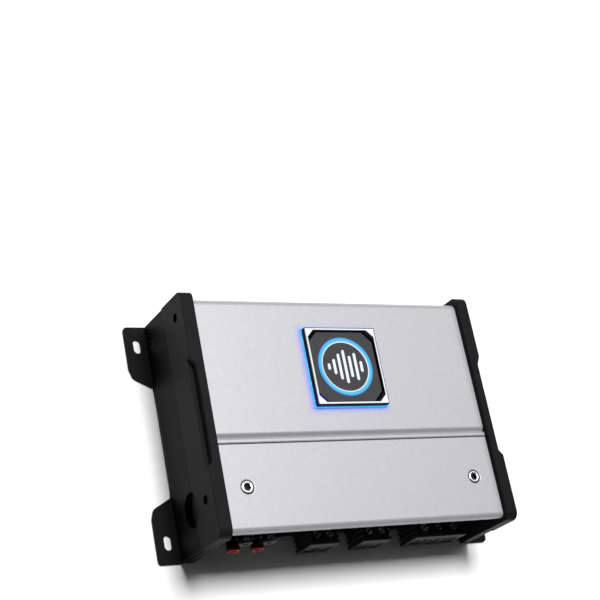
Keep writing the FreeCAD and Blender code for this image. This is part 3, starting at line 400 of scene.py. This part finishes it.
def turned(bm, foot, along, rings, sides, bored=False):
    """A turned part: rings (distance, radius) from its foot, spun round its axis; (distance, radius, 6) is hexagonal.

    Its ends are closed with a face, or joined to each other where the part is bored through."""
    others = set(bm.faces)
    foot, along = Vector(foot), Vector(along)
    out = along.orthogonal().normalized()
    verts = [bm.verts.new(foot + along * ring[0] + out * ring[1]) for ring in rings]
    profile = [bm.edges.new(pair) for pair in zip(verts, verts[1:])]
    if bored:
        profile.append(bm.edges.new((verts[-1], verts[0])))
    bmesh.ops.spin(bm, geom=verts + profile, cent=foot, axis=along, angle=math.tau, steps=sides, use_merge=True)
    new = [f for f in bm.faces if f not in others]
    ends = [e for e in bm.edges if e.is_boundary]
    bmesh.ops.holes_fill(bm, edges=ends, sides=0)
    new = [f for f in bm.faces if f not in others]
    bmesh.ops.recalc_face_normals(bm, faces=new)
    for vert in {v for f in new for v in f.verts}:
        distance = (vert.co - foot).dot(along)
        spoke = vert.co - foot - along * distance
        for ring in rings:
            if len(ring) > 2 and abs(ring[0] - distance) < 1e-3 and abs(ring[1] - spoke.length) < 1e-3:
                turn = out.angle(spoke) % (math.tau / ring[2]) - math.pi / ring[2]
                vert.co = foot + along * distance + spoke * (math.cos(math.pi / ring[2]) / math.cos(turn))
    return new


def status_lights(surface):
    low, high = span("status_lights")
    radius, collar = 1.5, 2.1
    bm = bmesh.new()
    for x in (low.x + collar, high.x - collar):
        z = (low.z + high.z) / 2
        turned(bm, (x, high.y, z), (0, -1, 0),
               [(0, collar - 0.2), (0.2, collar), (1.9, collar), (1.9, radius), (4.05, radius), (4.3, 1.3),
                (4.45, 0.8), (4.5, 0.3)], 32)
    set_piece(bm, "status_lenses", ["status_lights"], [surface])


eased_piece("connector_panel_sheet", "connector_panel", black_sheet, 0.15)
status_lights(clear_lens())


# ---- Phono sockets ----
# Four phono sockets on one moulded block: nickel-plated shells turned from brass, red insulators in the lower row
# and black in the upper, and a split centre contact in each.
def nickel_plate():
    """Bright nickel plate: warm grey mirror metal, slightly uneven as barrel plating is."""
    surface, tree, place = bare("bright nickel plate")
    uneven = add(tree, "ShaderNodeTexNoise", {"Vector": place, "Scale": 1 / (0.9 * MM), "Detail": 2.0}).outputs["Fac"]
    bump = add(tree, "ShaderNodeBump", {"Height": uneven, "Strength": 0.15, "Distance": 0.04 * MM}).outputs[0]
    gloss = add(tree, "ShaderNodeMapRange", {"Value": uneven, "To Min": 0.2, "To Max": 0.34}).outputs[0]
    colour = add(tree, "ShaderNodeMix", {0: uneven, 6: linear("#BDB8AE"), 7: linear("#D6D2CA")},
                 data_type="RGBA").outputs[2]
    return finished(surface, {"Base Color": colour, "Roughness": gloss, "Normal": bump, "Metallic": 1.0})


def black_nickel_plate():
    """Black nickel plate on turned brass: smoky dark mirror, drawn out in thin glints."""
    surface, tree, place = bare("black nickel plate")
    uneven = add(tree, "ShaderNodeTexNoise", {"Vector": place, "Scale": 1 / (0.7 * MM), "Detail": 2.0}).outputs["Fac"]
    bump = add(tree, "ShaderNodeBump", {"Height": uneven, "Strength": 0.2, "Distance": 0.05 * MM}).outputs[0]
    colour = add(tree, "ShaderNodeMix", {0: uneven, 6: linear("#3C3A3C"), 7: linear("#6A686A")},
                 data_type="RGBA").outputs[2]
    return finished(surface, {"Base Color": colour, "Normal": bump, "Metallic": 1.0, "Roughness": 0.14})


def moulded_insulator(name, dark, light):
    """Moulded insulator: glossy solid colour with faint flow marks."""
    surface, tree, place = bare(name)
    flow = add(tree, "ShaderNodeTexNoise", {"Vector": place, "Scale": 1 / (1.8 * MM),
                                            "Distortion": 1.5}).outputs["Fac"]
    colour = add(tree, "ShaderNodeMix", {0: flow, 6: linear(dark), 7: linear(light)}, data_type="RGBA").outputs[2]
    return finished(surface, {"Base Color": colour, "Roughness": 0.3, "Specular IOR Level": 0.2})


def phono_sockets(shell, contact, red, black):
    low, high = span("jack_shells")
    ring, tail, barrel, groove, bore = 5.4, 3.9, 4.15, 3.95, 3.5
    columns, rows = (low.x + ring, high.x - ring), (low.z + ring, high.z - ring)
    outwards, block_face = (0, -1, 0), -51.0
    shells, contacts = bmesh.new(), bmesh.new()
    insulators = [bmesh.new(), bmesh.new()]
    for row, z in enumerate(rows):
        for x in columns:
            turned(shells, (x, high.y, z), outwards,
                   [(0, tail), (14.0, tail), (14.0, ring - 0.2), (14.2, ring), (14.6, ring), (14.8, ring - 0.2),
                    (14.8, barrel), (17.6, barrel), (17.8, groove), (18.3, groove), (18.5, barrel), (19.6, barrel),
                    (19.8, groove), (20.3, groove), (20.5, barrel), (24.9, barrel), (25.1, 4.0), (25.1, bore),
                    (0, bore)], 64, bored=True)
            turned(insulators[row], (x, block_face, z), outwards,
                   [(0, 3.45), (24.1, 3.45), (24.1, 4.1), (24.3, barrel), (24.85, barrel), (25.15, 4.0),
                    (25.3, 3.75), (25.3, 2.35), (25.05, 2.0), (0, 2.0)], 64, bored=True)
            turned(contacts, (x, block_face, z), outwards,
                   [(0, 1.95), (24.45, 1.95), (24.6, 1.85), (24.6, 1.7), (24.3, 1.6), (7.6, 1.6)], 40)
    set_piece(shells, "phono_shells", ["jack_shells"], [shell])
    set_piece(insulators[0], "red_phono_insulators", ["jack_insulators_red"], [red])
    set_piece(insulators[1], "black_phono_insulators", ["jack_insulators_black"], [black])
    set_piece(contacts, "phono_contacts", ["jack_contacts"], [contact])


nickel = nickel_plate()
phono_sockets(black_nickel_plate(), nickel, moulded_insulator("red insulator", "#8E0A10", "#B01418"),
              moulded_insulator("black insulator", "#070708", "#0E0E0F"))
dress(epoxy, "jack_block")


# ---- Terminal plugs ----
# Black nylon plugs that pull out of fixed headers on the board. Wires go in at the front and are clamped in
# tinned cages by slotted screws; the ribbed ends are for the fingers.
def black_nylon():
    """Glass-filled nylon: black, semi-matt, with a moulded texture drawn at 0.5 mm so that it shows."""
    surface, tree, place = bare("black nylon")
    fibre = add(tree, "ShaderNodeTexNoise", {"Vector": place, "Scale": 1 / (0.5 * MM), "Detail": 3.0}).outputs["Fac"]
    bump = add(tree, "ShaderNodeBump", {"Height": fibre, "Strength": 0.25, "Distance": 0.04 * MM}).outputs[0]
    gloss = add(tree, "ShaderNodeMapRange", {"Value": fibre, "To Min": 0.34, "To Max": 0.52}).outputs[0]
    colour = add(tree, "ShaderNodeMix", {0: fibre, 6: linear("#070708"), 7: linear("#0E0E0F")},
                 data_type="RGBA").outputs[2]
    return finished(surface, {"Base Color": colour, "Roughness": gloss, "Normal": bump, "Specular IOR Level": 0.45})


def tin_plate():
    """Dull tin plate: soft white metal."""
    surface, tree, place = bare("dull tin plate")
    crystal = add(tree, "ShaderNodeTexVoronoi", {"Vector": place, "Scale": 1 / (0.8 * MM)}).outputs["Distance"]
    colour = add(tree, "ShaderNodeMix", {0: crystal, 6: linear("#B4B6B6"), 7: linear("#D2D4D4")},
                 data_type="RGBA").outputs[2]
    return finished(surface, {"Base Color": colour, "Metallic": 1.0, "Roughness": 0.42})


def clamp_screws(plug, surface):
    """Clamp screws backed out until their heads are nearly flush with the plug, as when no wire is in it."""
    top, rim, backed_out = span(plug + "_screws")[1].z, 0.7, 1.1
    bm = eased_copy(plug + "_screws", 0.35, 3)
    bmesh.ops.translate(bm, vec=(0, 0, backed_out), verts=[v for v in bm.verts if v.co.z > top - rim])
    set_piece(bm, plug + "_clamp_screws", [plug + "_screws"], [surface])


nylon, tin = black_nylon(), tin_plate()
for plug in ("speaker_plug_1", "speaker_plug_2", "power_plug"):
    eased_piece(plug + "_housing", plug, nylon, 0.2)
    clamp_screws(plug, nickel)
    dress(tin, plug + "_cages")
dress(nylon, "terminal_headers")
dress(tin, "header_pins")


# ---- Control deck ----
# Black sheet deck under the cover, held by six screws. A white scale is printed round each knob and beside each
# slide switch.
def black_oxide():
    """Black oxide on alloy steel: near-black metal with an oily sheen."""
    surface, tree, place = bare("black oxide")
    oil = add(tree, "ShaderNodeTexNoise", {"Vector": place, "Scale": 1 / (0.8 * MM), "Detail": 2.0}).outputs["Fac"]
    gloss = add(tree, "ShaderNodeMapRange", {"Value": oil, "To Min": 0.3, "To Max": 0.48}).outputs[0]
    colour = add(tree, "ShaderNodeMix", {0: oil, 6: linear("#0C0C0E"), 7: linear("#1C1C1F")},
                 data_type="RGBA").outputs[2]
    return finished(surface, {"Base Color": colour, "Roughness": gloss, "Metallic": 0.8})


def screen_ink():
    """Screen-printed white ink: matt, thinner where the mesh threads lay, 0.3 mm apart."""
    surface, tree, place = bare("white screen ink")
    mesh_marks = add(tree, "ShaderNodeTexNoise", {"Vector": place, "Scale": 1 / (0.3 * MM)}).outputs["Fac"]
    colour = add(tree, "ShaderNodeMix", {0: mesh_marks, 6: linear("#C9C9C9"), 7: linear("#E6E6E6")},
                 data_type="RGBA").outputs[2]
    return finished(surface, {"Base Color": colour, "Roughness": 0.7})


def printed_scale(surface, knob_places, slider_places, y):
    """Eleven ticks round each knob over 280 degrees, longer at the ends and the middle, and three by each slider."""
    sheet, ink, half = 1.5, 0.05, 0.16
    start, short, long = 4.2, 5.1, 5.6
    stop, tick_low, tick_high = 1.8, 2.3, 3.3
    base = span("control_deck")[0].z + sheet
    bm = bmesh.new()
    for x in knob_places:
        for k in range(11):
            angle = math.radians(-140 + 28 * k)
            far = long if k % 5 == 0 else short
            tick = prism(bm, [(-half, start), (half, start), (half, far), (-half, far)], "z", base, base + ink)
            verts = list(dict.fromkeys(v for f in tick for v in f.verts))
            bmesh.ops.rotate(bm, cent=(0, 0, 0), matrix=Matrix.Rotation(-angle, 3, "Z"), verts=verts)
            bmesh.ops.translate(bm, vec=(x, y, 0), verts=verts)
    for x in slider_places:
        for dx in (-stop, 0.0, stop):
            prism(bm, [(x + dx - half, y + tick_low), (x + dx + half, y + tick_low),
                       (x + dx + half, y + tick_high), (x + dx - half, y + tick_high)], "z", base, base + ink)
    set_piece(bm, "printed_scale", [], [surface], body="chassis")


oxide, ink = black_oxide(), screen_ink()
eased_piece("control_deck_sheet", "control_deck", black_sheet, 0.15)
eased_piece("deck_screw_set", "deck_screws", oxide, 0.15)
eased_piece("case_screw_set", "case_screws", oxide, 0.15)
knobs = {name: (span(name)[0] + span(name)[1]) / 2
         for name in ("gain_knob", "high_pass_knob", "low_pass_knob", "bass_boost_knob")}
middle_stops = [(span(name)[0].x + span(name)[1].x) / 2 + to_middle
                for name, to_middle in (("input_level_slider", 1.8), ("crossover_slider", 0),
                                        ("badge_light_slider", 1.8))]
printed_scale(ink, [centre.x for centre in knobs.values()], middle_stops, -43.0)


# ---- Knobs and switches ----
# Four fluted knobs pressed on the control shafts, each with a screwdriver slot and a painted pointer, and three
# slide switches with ridged levers.
def knob_plastic():
    """Moulded knob plastic: dark grey, soft sheen, finely textured."""
    surface, tree, place = bare("knob plastic")
    grain = add(tree, "ShaderNodeTexNoise", {"Vector": place, "Scale": 1 / (0.3 * MM), "Detail": 2.0}).outputs["Fac"]
    bump = add(tree, "ShaderNodeBump", {"Height": grain, "Strength": 0.2, "Distance": 0.03 * MM}).outputs[0]
    colour = add(tree, "ShaderNodeMix", {0: grain, 6: linear("#2A2A2C"), 7: linear("#38383A")},
                 data_type="RGBA").outputs[2]
    return finished(surface, {"Base Color": colour, "Normal": bump, "Roughness": 0.45})


def lever_plastic():
    """Acetal switch lever: off-white, waxy, slightly translucent."""
    surface, tree, place = bare("acetal lever")
    wax = add(tree, "ShaderNodeTexNoise", {"Vector": place, "Scale": 1 / (1.2 * MM)}).outputs["Fac"]
    colour = add(tree, "ShaderNodeMix", {0: wax, 6: linear("#CFCDC6"), 7: linear("#E2E0DA")},
                 data_type="RGBA").outputs[2]
    return finished(surface, {"Base Color": colour, "Roughness": 0.35, "Subsurface Weight": 0.1})


def fluted_knob(name, centre, plastic, paint):
    low, high = span(name)
    radius, flute, shaft = 3.0, 0.22, 1.5
    base, top = 44.0, high.z
    slot_half, slot_deep, pointer_half = 0.5, 1.1, 0.3
    bm = bmesh.new()
    turned(bm, (centre.x, centre.y, low.z), (0, 0, 1),
           [(0, shaft), (base - low.z, shaft), (base - low.z, radius), (top - 0.9 - low.z, radius),
            (top - 0.3 - low.z, radius - 0.35), (top - low.z, radius - 0.7)], 72)
    for vert in bm.verts:
        out = Vector((vert.co.x - centre.x, vert.co.y - centre.y))
        if abs(out.length - radius) < 0.01 and round(math.degrees(math.atan2(out.y, out.x)) / 5) % 4 in (0, 1):
            vert.co.xy = Vector((centre.x, centre.y)) + out * (1 - flute / radius)
    for x in (centre.x - slot_half, centre.x + slot_half):
        faces = [f for f in bm.faces if f.normal.z > 0.9 and f.calc_center_median().z > top - 0.01]
        edges, verts = (dict.fromkeys(part for f in faces for part in getattr(f, kind)) for kind in ("edges", "verts"))
        bmesh.ops.bisect_plane(bm, geom=faces + list(edges) + list(verts), plane_co=(x, 0, 0), plane_no=(1, 0, 0))
    bm.normal_update()
    slot = [f for f in bm.faces if f.normal.z > 0.9 and f.calc_center_median().z > top - 0.01
            and abs(f.calc_center_median().x - centre.x) < slot_half - 0.1]
    sunk = bmesh.ops.extrude_face_region(bm, geom=slot)["geom"]
    bmesh.ops.translate(bm, vec=(0, 0, -slot_deep), verts=[g for g in sunk if isinstance(g, bmesh.types.BMVert)])
    bmesh.ops.delete(bm, geom=[f for f in slot if f.is_valid], context="FACES_ONLY")
    bmesh.ops.recalc_face_normals(bm, faces=bm.faces)
    rim = centre.y + radius
    prism(bm, [(rim - 0.35, top - 3.2), (rim - 0.05, top - 3.2), (rim - 0.05, top - 0.9), (rim - 0.55, top - 0.25),
               (rim - 0.9, top - 0.25)], "x", centre.x - pointer_half, centre.x + pointer_half, 1)
    set_piece(bm, name.replace("_knob", "_control_knob"), [name], [plastic, paint])


knob_finish, lever_finish = knob_plastic(), lever_plastic()
for name, centre in knobs.items():
    fluted_knob(name, centre, knob_finish, ink)
for name in ("input_level", "crossover", "badge_light"):
    eased_piece(name + "_lever", name + "_slider", lever_finish, 0.12)


# ---- Control cover ----
# Lid over the knobs and switches, cut from a smaller extrusion with a rounded front lip and coated like the case.
# Two countersunk screws, polished on top, hold it to pillars on the deck; black is painted round their outer edge and
# on their socket floors as shade.
def polished_stainless():
    """Polished stainless steel: mirror-bright cool metal with faint turning rings left on it."""
    surface, tree, place = bare("polished stainless steel")
    marks = add(tree, "ShaderNodeTexNoise", {"Vector": place, "Scale": 1 / (0.4 * MM), "Detail": 2.0}).outputs["Fac"]
    gloss = add(tree, "ShaderNodeMapRange", {"Value": marks, "To Min": 0.18, "To Max": 0.32}).outputs[0]
    colour = add(tree, "ShaderNodeMix", {0: marks, 6: linear("#C4C5C8"), 7: linear("#DCDCDE")},
                 data_type="RGBA").outputs[2]
    return finished(surface, {"Base Color": colour, "Roughness": gloss, "Metallic": 1.0})


def cover_screws(polished, painted_shade_black):
    low, high = span("cover_screws")
    shank, head, rim, socket = 1.95, 4.25, 0.5, 3.7 / 3 ** 0.5
    tall = high.z - low.z
    painted_shade_below = tall - 1.3
    bm = bmesh.new()
    for x in (low.x + head, high.x - head):
        foot = Vector((x, (low.y + high.y) / 2, low.z))
        faces = turned(bm, foot, (0, 0, 1),
                       [(0, shank - 0.4), (0.4, shank), (tall - 2.35, shank), (tall - 0.45, head), (tall - 0.3, head),
                        (tall - 0.3, head - rim), (tall - 0.1, head - 0.55), (tall, head - 0.75),
                        (tall, socket + 0.5, 6), (tall - 0.3, socket, 6), (tall - 1.75, socket, 6)], 60)
        for face in faces:
            centre = face.calc_center_median() - foot
            # The outer edge and the socket floor take black oxide as painted shade of the countersink gap and the
            # socket's bottom.
            dark = centre.xy.length > head - rim - 0.02 or centre.z < painted_shade_below
            face.material_index = 1 if dark else 0
    set_piece(bm, "cover_screw_pair", ["cover_screws"], [polished, painted_shade_black])


eased_piece("lift_off_cover", "control_cover", silver, 0.4)
cover_screws(polished_stainless(), oxide)
dress(zinc, "cover_standoffs")


# ---- Badge ----
# A clear plate whose edges glow blue, a square plated frame with black sides and an eight-sided window, and a grey
# face with a back-lit ring and seven level bars. Pegs on the clear plate press through the top of the case.
def edge_lit_acrylic():
    """Clear acrylic lit from inside: cyan-blue at its edges, brighter where a light sits behind, 9 mm apart."""
    surface, tree, place = bare("edge-lit acrylic")
    lights = add(tree, "ShaderNodeTexNoise", {"Vector": place, "Scale": 1 / (9 * MM), "Detail": 1.0}).outputs["Fac"]
    glow = add(tree, "ShaderNodeMapRange", {"Value": lights, "To Min": 0.75, "To Max": 1.25}).outputs[0]
    colour = add(tree, "ShaderNodeMix", {0: lights, 6: linear("#103A66"), 7: linear("#17507F")},
                 data_type="RGBA").outputs[2]
    return finished(surface, {"Base Color": colour, "Emission Strength": glow, "Emission Color": linear("#3ABAFA"),
                              "Roughness": 0.15, "IOR": 1.49})


def frame_chrome():
    """Bright chrome plate: near-white mirror, a little wavy over the moulding under it."""
    surface, tree, place = bare("bright chrome plate")
    wave = add(tree, "ShaderNodeTexNoise", {"Vector": place, "Scale": 1 / (6 * MM), "Detail": 1.0}).outputs["Fac"]
    bump = add(tree, "ShaderNodeBump", {"Height": wave, "Strength": 0.2, "Distance": 0.1 * MM}).outputs[0]
    colour = add(tree, "ShaderNodeMix", {0: wave, 6: linear("#DADBDE"), 7: linear("#E6E6E9")},
                 data_type="RGBA").outputs[2]
    return finished(surface, {"Base Color": colour, "Normal": bump, "Metallic": 1.0, "Roughness": 0.12})


def piano_black():
    """Black paint in and round the frame: deep and smooth, with navy painted into it as a painted glow where the edge
    light would leak up behind it.

    The painted glow lies along the middle of the far wall and in the near left corner."""
    surface, tree, place = bare("gloss black paint")
    low, high = span("badge_bezel")
    middle = (low + high) / 2 * MM
    from_middle = add(tree, "ShaderNodeVectorMath", {0: place, 1: middle}, operation="SUBTRACT").outputs[0]
    split = add(tree, "ShaderNodeSeparateXYZ", {"Vector": from_middle})
    across = add(tree, "ShaderNodeMath", {0: split.outputs["X"]}, operation="ABSOLUTE").outputs[0]
    between = add(tree, "ShaderNodeMapRange", {"Value": across, "From Min": 14 * MM, "From Max": 18 * MM,
                                               "To Min": 1.0, "To Max": 0.0}).outputs[0]
    far = add(tree, "ShaderNodeMath", {0: split.outputs["Y"], 1: 22.5 * MM}, operation="GREATER_THAN").outputs[0]
    both = add(tree, "ShaderNodeMath", {0: split.outputs["X"], 1: split.outputs["Y"]}, operation="ADD").outputs[0]
    corner = add(tree, "ShaderNodeMath", {0: both, 1: -38.5 * MM}, operation="LESS_THAN").outputs[0]
    painted_leak_glow = add(tree, "ShaderNodeMath", {0: between, 1: far, 2: corner}, operation="MULTIPLY_ADD").outputs[0]
    peel = add(tree, "ShaderNodeTexNoise", {"Vector": place, "Scale": 1 / (2 * MM), "Detail": 1.0}).outputs["Fac"]
    bump = add(tree, "ShaderNodeBump", {"Height": peel, "Strength": 0.1, "Distance": 0.05 * MM}).outputs[0]
    # The navy is painted glow of leaked edge light, not the paint's own colour.
    colour = add(tree, "ShaderNodeMix", {0: painted_leak_glow, 6: linear("#040406"), 7: linear("#0A1550")},
                 data_type="RGBA").outputs[2]
    return finished(surface, {"Base Color": colour, "Normal": bump, "Roughness": 0.25, "Specular IOR Level": 0.12})


def satin_face():
    """Satin grey paint on the badge face: even mid grey, fine grain at a third of a millimetre."""
    surface, tree, place = bare("satin grey paint")
    grain = add(tree, "ShaderNodeTexNoise", {"Vector": place, "Scale": 1 / (0.35 * MM), "Detail": 2.0}).outputs["Fac"]
    colour = add(tree, "ShaderNodeMix", {0: grain, 6: linear("#343436"), 7: linear("#3D3D3F")},
                 data_type="RGBA").outputs[2]
    return finished(surface, {"Base Color": colour, "Roughness": 0.5, "Specular IOR Level": 0.15})


def lit_emblem():
    """Back-lit emblem plastic: white bars and inner line, cyan ring, deeper blue at its rim where light thins out."""
    surface, tree, place = bare("back-lit emblem plastic")
    low, high = span("badge_emblem")
    centre = (low + high) / 2 * MM
    flat = add(tree, "ShaderNodeVectorMath", {0: place, 1: centre}, operation="SUBTRACT").outputs[0]
    level = add(tree, "ShaderNodeVectorMath", {0: flat, 1: (1, 1, 0)}, operation="MULTIPLY").outputs[0]
    reach = add(tree, "ShaderNodeVectorMath", {0: level}, operation="LENGTH").outputs["Value"]
    ring = add(tree, "ShaderNodeMapRange", {"Value": reach, "From Min": 16.4 * MM, "From Max": 17.2 * MM}).outputs[0]
    rim = add(tree, "ShaderNodeMapRange", {"Value": reach, "From Min": 18.4 * MM, "From Max": 19.5 * MM}).outputs[0]
    inner = add(tree, "ShaderNodeMix", {0: ring, 6: linear("#F2FAFF"), 7: linear("#3CC2F0")},
                data_type="RGBA").outputs[2]
    light = add(tree, "ShaderNodeMix", {0: rim, 6: inner, 7: linear("#1B5FC4")}, data_type="RGBA").outputs[2]
    return finished(surface, {"Emission Color": light, "Emission Strength": 0.95, "Base Color": linear("#0A1A26"),
                              "Roughness": 0.3})


def badge_bezel(chrome, black):
    """The square frame, its window drafted down to a step and its outer edge sloped."""
    low, high = span("badge_bezel")
    centre, half = (low + high) / 2, (high.x - low.x) / 2
    window, window_cut, mouth, mouth_side, draft, slope = 23.2, 7.0, 24.0, 19.4, 1.85, 0.8

    def corners(size, cut):
        eighth = [(size, cut - size), (size, size - cut), (size - cut, size), (cut - size, size)]
        return [(centre.x + side * u, centre.y + side * v, low.z) for side in (1, -1) for u, v in eighth]

    bm = bmesh.new()
    panel = bm.faces.new([bm.verts.new(corner) for corner in corners(half, 0.8)])
    bmesh.ops.inset_individual(bm, faces=[panel], thickness=1.0)
    for vert, corner in zip(panel.verts, corners(window, window_cut)):
        vert.co = corner
    bmesh.ops.delete(bm, geom=[panel], context="FACES_ONLY")
    raised = bmesh.ops.extrude_face_region(bm, geom=bm.faces[:], use_keep_orig=True)["geom"]
    bmesh.ops.translate(bm, vec=(0, 0, high.z - low.z), verts=[g for g in raised if isinstance(g, bmesh.types.BMVert)])
    bmesh.ops.bisect_plane(bm, geom=bm.verts[:] + bm.edges[:] + bm.faces[:], plane_co=(0, 0, high.z - draft),
                           plane_no=(0, 0, 1))
    for vert in bm.verts:
        u, v = vert.co.x - centre.x, vert.co.y - centre.y
        if vert.co.z > high.z - 0.01 and max(abs(u), abs(v)) < window + 0.8:  # the mouth is wider and less cut across
            wide, deep = (mouth, mouth_side) if abs(u) > abs(v) else (mouth_side, mouth)
            vert.co.x, vert.co.y = centre.x + math.copysign(wide, u), centre.y + math.copysign(deep, v)
    bmesh.ops.recalc_face_normals(bm, faces=bm.faces)
    rim = [e for e in bm.edges if all(v.co.z > high.z - 0.01 and max(abs(v.co.x - centre.x), abs(v.co.y - centre.y))
                                      > half - 0.01 for v in e.verts)]
    bmesh.ops.bevel(bm, geom=rim, offset=slope, offset_type="OFFSET", affect="EDGES", segments=2, profile=0.5,
                    material=-1)
    for face in bm.faces:
        face.material_index = 0 if face.normal.z > 0.97 else 1
    set_piece(bm, "badge_frame", ["badge_bezel"], [chrome, black])


def badge_emblem(surface):
    low, high = span("badge_emblem")
    centre = (low + high) / 2
    outer, inner, soft = (high.x - low.x) / 2, 16.2, 0.08
    half, pitch, reaches = 0.9, 3.9, (2.0, 5.0, 8.5, 11.0, 7.0, 9.0, 3.5)
    tall = high.z - low.z
    bm = bmesh.new()
    turned(bm, (centre.x, centre.y, low.z), (0, 0, 1),
           [(0, inner), (0, outer), (tall - soft, outer), (tall, outer - soft), (tall, inner + soft),
            (tall - soft, inner)], 128, bored=True)
    for k, reach in enumerate(reaches):
        x, near, far = centre.x + pitch * (k - 3), centre.y - reach, centre.y + reach
        prism(bm, [(x - half, near, 0.8), (x + half, near, 0.8), (x + half, far, 0.8), (x - half, far, 0.8)], "z",
              low.z, high.z)
    set_piece(bm, "badge_ring_and_bars", ["badge_emblem"], [surface])


eased_piece("badge_edge_light", "badge_light_guide", edge_lit_acrylic(), 0.15)
badge_bezel(frame_chrome(), piano_black())
eased_piece("badge_face_plate", "badge_face", satin_face(), 0.15)
badge_emblem(lit_emblem())


# ---- End caps ----
# Thick moulded caps that close both ends of the case, each held by two deep-set hexagon socket screws. A step
# takes the bracket, a rabbet runs along the top and a scoop clears the bracket's lower screw.
def moulded_cap():
    """Glass-filled moulding: charcoal black, satin, its spark-eroded grain drawn at 0.4 mm so that it shows."""
    surface, tree, place = bare("textured black moulding")
    grain = add(tree, "ShaderNodeTexNoise", {"Vector": place, "Scale": 1 / (0.4 * MM), "Detail": 3.0}).outputs["Fac"]
    cloud = add(tree, "ShaderNodeTexNoise", {"Vector": place, "Scale": 1 / (14 * MM), "Detail": 2.0}).outputs["Fac"]
    bump = add(tree, "ShaderNodeBump", {"Height": grain, "Strength": 0.3, "Distance": 0.04 * MM}).outputs[0]
    gloss = add(tree, "ShaderNodeMapRange", {"Value": cloud, "To Min": 0.42, "To Max": 0.52}).outputs[0]
    tone = add(tree, "ShaderNodeMath", {0: grain, 1: cloud}, operation="MULTIPLY").outputs[0]
    colour = add(tree, "ShaderNodeMix", {0: tone, 6: linear("#131314"), 7: linear("#242427")},
                 data_type="RGBA").outputs[2]
    return finished(surface, {"Base Color": colour, "Roughness": gloss, "Normal": bump, "Specular IOR Level": 0.05})


dress(moulded_cap(), "end_cap_left", "end_cap_right")
eased_piece("cap_screw_set", "cap_screws", oxide, 0.2)


# ---- Mounting brackets ----
# Bent steel angles with slotted feet, powder-coated black. Countersunk screws hold each one to its cap and on into
# the case.
eased_piece("bracket_left", "mounting_bracket_left", black_sheet, 0.25)
eased_piece("bracket_right", "mounting_bracket_right", black_sheet, 0.25)
dress(oxide, "bracket_screws")


# ---- Studio ----
# White paper on the floor, a pale wall of light all round, one softbox high overhead and one over the far side that
# shows in the coat and the chrome. The camera is rolled about its own axis.
scene = bpy.context.scene
lens = bpy.data.cameras.new("studio camera")
lens.sensor_width, lens.lens, lens.clip_end = 36.0, 90.73, 100.0
camera = bpy.data.objects.new("studio camera", lens)
scene.collection.objects.link(camera)
scene.camera = camera
azimuth, elevation, roll = math.radians(53.814), math.radians(52.318), math.radians(48.546)
aim, distance = Vector((-4.61, 84.65, 30.0)) * MM, 0.982
ahead = Vector((math.sin(azimuth) * math.cos(elevation), math.cos(azimuth) * math.cos(elevation),
                -math.sin(elevation)))
camera.matrix_world = (Matrix.Translation(aim - ahead * distance)
                       @ (Matrix.Rotation(roll, 3, -ahead) @ ahead.to_track_quat("-Z", "Y").to_matrix()).to_4x4())

bm = bmesh.new()
bmesh.ops.create_grid(bm, x_segments=1, y_segments=1, size=6.0)
sweep = bpy.data.meshes.new("studio floor")
bm.to_mesh(sweep)
bm.free()
floor = bpy.data.objects.new("studio floor", sweep)
scene.collection.objects.link(floor)
sweep.materials.append(finished(bare("white paper sweep")[0], {"Base Color": linear("#F6F6F6"), "Roughness": 0.9,
                                                               "Specular IOR Level": 0.05}))

world = bpy.data.worlds.new("studio")
world.use_nodes = True
scene.world = world
sky = world.node_tree
direction = add(sky, "ShaderNodeTexCoord").outputs["Generated"]
height = add(sky, "ShaderNodeSeparateXYZ", {"Vector": direction}).outputs["Z"]
glow = add(sky, "ShaderNodeMapRange", {"Value": height, "From Max": 0.28, "To Min": 0.5, "To Max": 0.05}).outputs[0]
sky.nodes["Background"].inputs["Color"].default_value = linear("#FFFFFF")
sky.links.new(glow, sky.nodes["Background"].inputs["Strength"])


def softbox(name, place, size, watts):
    """A square lamp at a place in metres, turned towards the object."""
    data = bpy.data.lights.new(name, "AREA")
    data.shape, data.size, data.energy = "SQUARE", size, watts
    lamp = bpy.data.objects.new(name, data)
    lamp.location = place
    lamp.rotation_euler = (Vector() - Vector(place)).to_track_quat("-Z", "Y").to_euler()
    scene.collection.objects.link(lamp)


softbox("overhead", (0.0, 1.15, 4.0), 1.2, 190)
softbox("far side", (0.8, 0.75, 1.5), 1.5, 9)
scene.view_settings.view_transform = "Standard"
